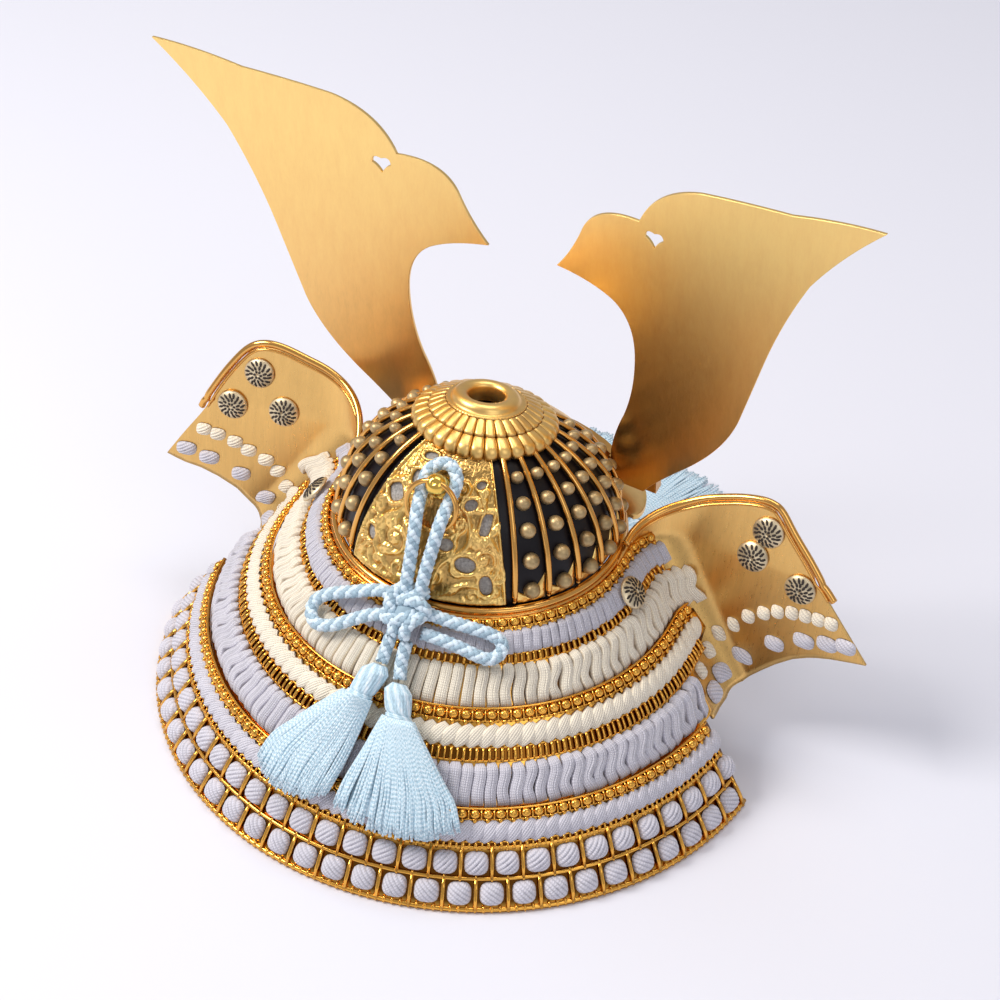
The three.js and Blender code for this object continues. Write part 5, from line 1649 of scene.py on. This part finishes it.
def slot_parts(radius, angle, z, seed):
    """Dark bars laid in rings on a medallion, standing for its slots."""
    foot = skirt_point(radius, angle, z)
    normal = skirt_normal(radius, angle, z)
    draw = np.random.default_rng(seed)
    parts = []
    for ring, count, length in SLOT_RINGS:
        for k in range(count):
            a = 2 * math.pi * (k + 0.5 * (ring > 1.5)) / count + draw.uniform(-0.06, 0.06)
            r = ring + draw.uniform(-0.12, 0.12)
            reach = [r - length, r, r + length]
            rise = np.interp(reach, [0, 1.75, 3.3, 4.45, 4.8], [2.17, 2.02, 1.62, 1.0, 0.5])
            line = np.array([
                ((r + d) * math.cos(a + 0.1 * d), (r + d) * math.sin(a + 0.1 * d), h + 0.02)
                for d, h in zip((-length, 0, length), rise)
            ])
            bar = tube_part(line, [0.26, 0.42, 0.26], 6, flat=0.5)
            parts.append(place(bar, foot, normal))
    return parts


def flap_knot_parts(sign, places, wide, tall, thick):
    parts = []
    for i, (s, z) in enumerate(places):
        angle = sign * (90 + FOLD_START + s)
        shear = sign * 0.83 * min(max(s / 24, 0), 1)
        parts.append(knot_part(flap_radius, angle, z, wide, tall, thick, sign * 50, i, shear))
    return parts


slot_dark = Shader("slot_dark", (0.03, 0.02, 0.015), 0.7)
slot_dark.bump(slot_dark.grain(900), 0.2, 0.05)
for name, sign in SIDES:
    piece("fukigaeshi_plate_" + name, flap_parts(name, sign), plate_gold, ["fukigaeshi_" + name])
    piece("fukurin_wires_" + name, rim_parts(name, sign), wire_gold, ["fukurin_" + name])
    spots = [(flap_radius, sign * (90 + FOLD_START + s), z) for s, z in FLAP_STUDS[name]]
    spots.append((cover_radius, sign * SIDE_STUD[0], SIDE_STUD[1]))
    nodes = [f"stud_{name}_{i + 1}" for i in range(3)] + ["stud_side_" + name]
    discs = [medallion_part(*spot) for spot in spots]
    slots = sum([slot_parts(*spot, i + 3) for i, spot in enumerate(spots)], [])
    piece("medallions_" + name, discs, disc_metal, nodes)
    piece("medallion_slots_" + name, slots, slot_dark.material, nodes)
    knots = flap_knot_parts(sign, CREAM_KNOTS[name], 2.0 if sign > 0 else 2.5, 2.9, 1.6)
    piece("flap_hishi_cream_" + name, knots, cream_lacing, ["flap_knots_cream_" + name])
    knots = flap_knot_parts(sign, LAVENDER_KNOTS[name], 3.2, 3.2, 1.7)
    piece("flap_hishi_lavender_" + name, knots, lavender_lacing, ["flap_knots_lavender_" + name])

# ---- horns, their holder and the visor ----------------------------------------------------
HORN_START = (101.4, 190.0)
# end point and control point of each curve: x across the helmet and z up
HORN_CURVES = [
    (76.8, 185.8, 90, 189.4), (52, 182.8, 63, 184.6), (34.8, 166.6, 39, 179.4),
    (17.6, 155.8, 21, 167.4), (10.2, 140.6, 14.6, 147.2), (27.4, 135.4, 21, 139.6),
    (34.5, 117.6, 34, 130.4), (31.4, 92.0, 34.9, 104), (27.6, 76.0, 28.6, 84),
    (28.2, 63.0, 27.2, 69), (38.4, 63.0, 33, 63.0), (49.6, 77.6, 41, 67.6),
    (66.6, 106.4, 62.6, 92), (72.4, 131, 69.6, 119), (83.4, 165, 76.6, 149),
    (101.4, 190, 91, 178.6),
]
HEART = (39.4, 162.8, 2.6)
HORN_WALL = 1.1
HORN_BEVEL = 0.15
# y of the horns' plane at the axis and the foot, and how it falls with x and with z
HORN_PLANE = (37.3, 0.12, 0.2)
HORN_FOOT = RIM_Z - 1.4


def quadratic(start, curves, steps):
    points = [start]
    for x, z, qx, qz in curves:
        ax, az = points[-1]
        for k in range(1, steps + 1):
            t = k / steps
            keep, pull, go = (1 - t) ** 2, 2 * t * (1 - t), t * t
            points.append((keep * ax + pull * qx + go * x, keep * az + pull * qz + go * z))
    return points[:-1]


def heart_outline():
    x, z, s = HEART
    curves = [
        (x, z + 0.5 * s, x - s, z + s), (x + s, z - 0.2 * s, x + s, z + s),
        (x, z - 1.4 * s, x + 0.4 * s, z - 0.5 * s), (x - s, z - 0.2 * s, x - 0.4 * s, z - 0.5 * s),
    ]
    return quadratic((x - s, z - 0.2 * s), curves, 8)


def horn_piece(name, sign):
    """A flat plate with a fine bevel, cut from the outline and laid into the horns' plane."""
    curve = bpy.data.curves.new("horn_" + name, "CURVE")
    curve.dimensions = "2D"
    curve.fill_mode = "BOTH"
    for outline in (quadratic(HORN_START, HORN_CURVES, 14), heart_outline()):
        spline = curve.splines.new("POLY")
        spline.points.add(len(outline) - 1)
        for point, (x, z) in zip(spline.points, outline):
            point.co = (x, z, 0, 1)
        spline.use_cyclic_u = True
    curve.extrude = HORN_WALL / 2 - HORN_BEVEL
    curve.bevel_depth = HORN_BEVEL
    curve.offset = -HORN_BEVEL
    curve.bevel_resolution = 2
    shape = bpy.data.objects.new("horn_shape", curve)
    mesh = bpy.data.meshes.new_from_object(shape)
    flat = np.zeros(len(mesh.vertices) * 3)
    mesh.vertices.foreach_get("co", flat)
    flat = flat.reshape(-1, 3)
    ahead, splay, rake = HORN_PLANE
    y = ahead - splay * flat[:, 0] - rake * (flat[:, 1] - HORN_FOOT) + flat[:, 2]
    points = np.stack([sign * flat[:, 0], y, flat[:, 1]], 1) * MM + AXIS
    mesh.vertices.foreach_set("co", points.ravel())
    finished("kuwagata_plate_" + name, mesh, horn_gold, 30, ["kuwagata_" + name])
    bpy.data.objects.remove(shape)


for name, sign in SIDES:
    horn_piece(name, sign)


VISOR_RADIUS = 43.2
VISOR_Z = 61.2


def visor_parts():
    share = np.linspace(0, 1, 90)[:, None]
    a = np.radians(120 + 120 * share)
    reach = 2 + 16 * np.clip(np.sin(share * math.pi), 0, 1) ** 0.7
    t = np.linspace(0, 1, 20)[None]
    d = reach * t
    r = VISOR_RADIUS + d
    z = VISOR_Z - 0.45 * d + 0.8 * np.sin(math.pi * np.minimum(t / 1.2, 1))
    rim = 0.5 * np.clip((t - 0.93) / 0.07, 0, 1)
    face = np.stack([r * np.sin(a), -r * np.cos(a), z + rim], -1)
    back = np.stack([r * np.sin(a), -r * np.cos(a), z - 1.2], -1)
    return [sheet_part(face, back)]


piece("mabizashi_plate", visor_parts(), matt_gold, ["mabizashi_visor"], sharp=45)
for node in ("kuwagata_dai", "chin_eyelet_left", "chin_eyelet_right"):
    materials = bpy.data.objects[node].data.materials
    materials.clear()
    materials.append(cast_gold("trim_" + node, (0.6, 0.32, 0.09), 0.3, 1.2, 0.8))


# ---- floor, light and finish --------------------------------------------------------------
FLOOR_REACH = 2.5
LIGHT_AIM = (0, 0, 0.06)


def add_floor():
    s = Shader("floor_paper", (0.74, 0.74, 0.81), 0.7)
    grain = s.grain(300)
    s.roughen(s.span(grain, 0.6, 0.7))
    mesh = bpy.data.meshes.new("floor")
    around = ((-1, -1), (1, -1), (1, 1), (-1, 1))
    corners = [(FLOOR_REACH * x, FLOOR_REACH * y, 0) for x, y in around]
    mesh.from_pydata(corners, [], [(0, 1, 2, 3)])
    mesh.materials.append(s.material)
    floor = bpy.data.objects.new("floor", mesh)
    floor.location.z = -0.0002
    bpy.context.scene.collection.objects.link(floor)


def add_light(name, spot, size, energy, color):
    """A soft light at a spot, aimed at the helmet."""
    data = bpy.data.lights.new(name, "AREA")
    data.shape = "RECTANGLE"
    data.size, data.size_y = size
    data.energy = energy
    data.color = color
    light = bpy.data.objects.new(name, data)
    bpy.context.scene.collection.objects.link(light)
    light.location = spot
    direction = np.array(LIGHT_AIM) - np.array(spot)
    light.rotation_euler = Vector(direction).to_track_quat("-Z", "Y").to_euler()


add_floor()
add_light("key", (-0.7, -0.35, 0.95), (0.45, 0.45), 11.5, (1.0, 0.97, 0.92))
add_light("fill", (0.9, -0.7, 0.8), (0.7, 0.7), 2.0, (0.95, 0.97, 1.0))
add_light("top", (0.0, 0.3, 1.2), (0.8, 0.5), 4.0, (1.0, 1.0, 1.0))

world = bpy.data.worlds.new("studio")
world.use_nodes = True
background = world.node_tree.nodes["Background"]
background.inputs["Color"].default_value = (0.86, 0.86, 0.92, 1)
background.inputs["Strength"].default_value = 0.5
bpy.context.scene.world = world
bpy.context.scene.view_settings.view_transform = "Standard"
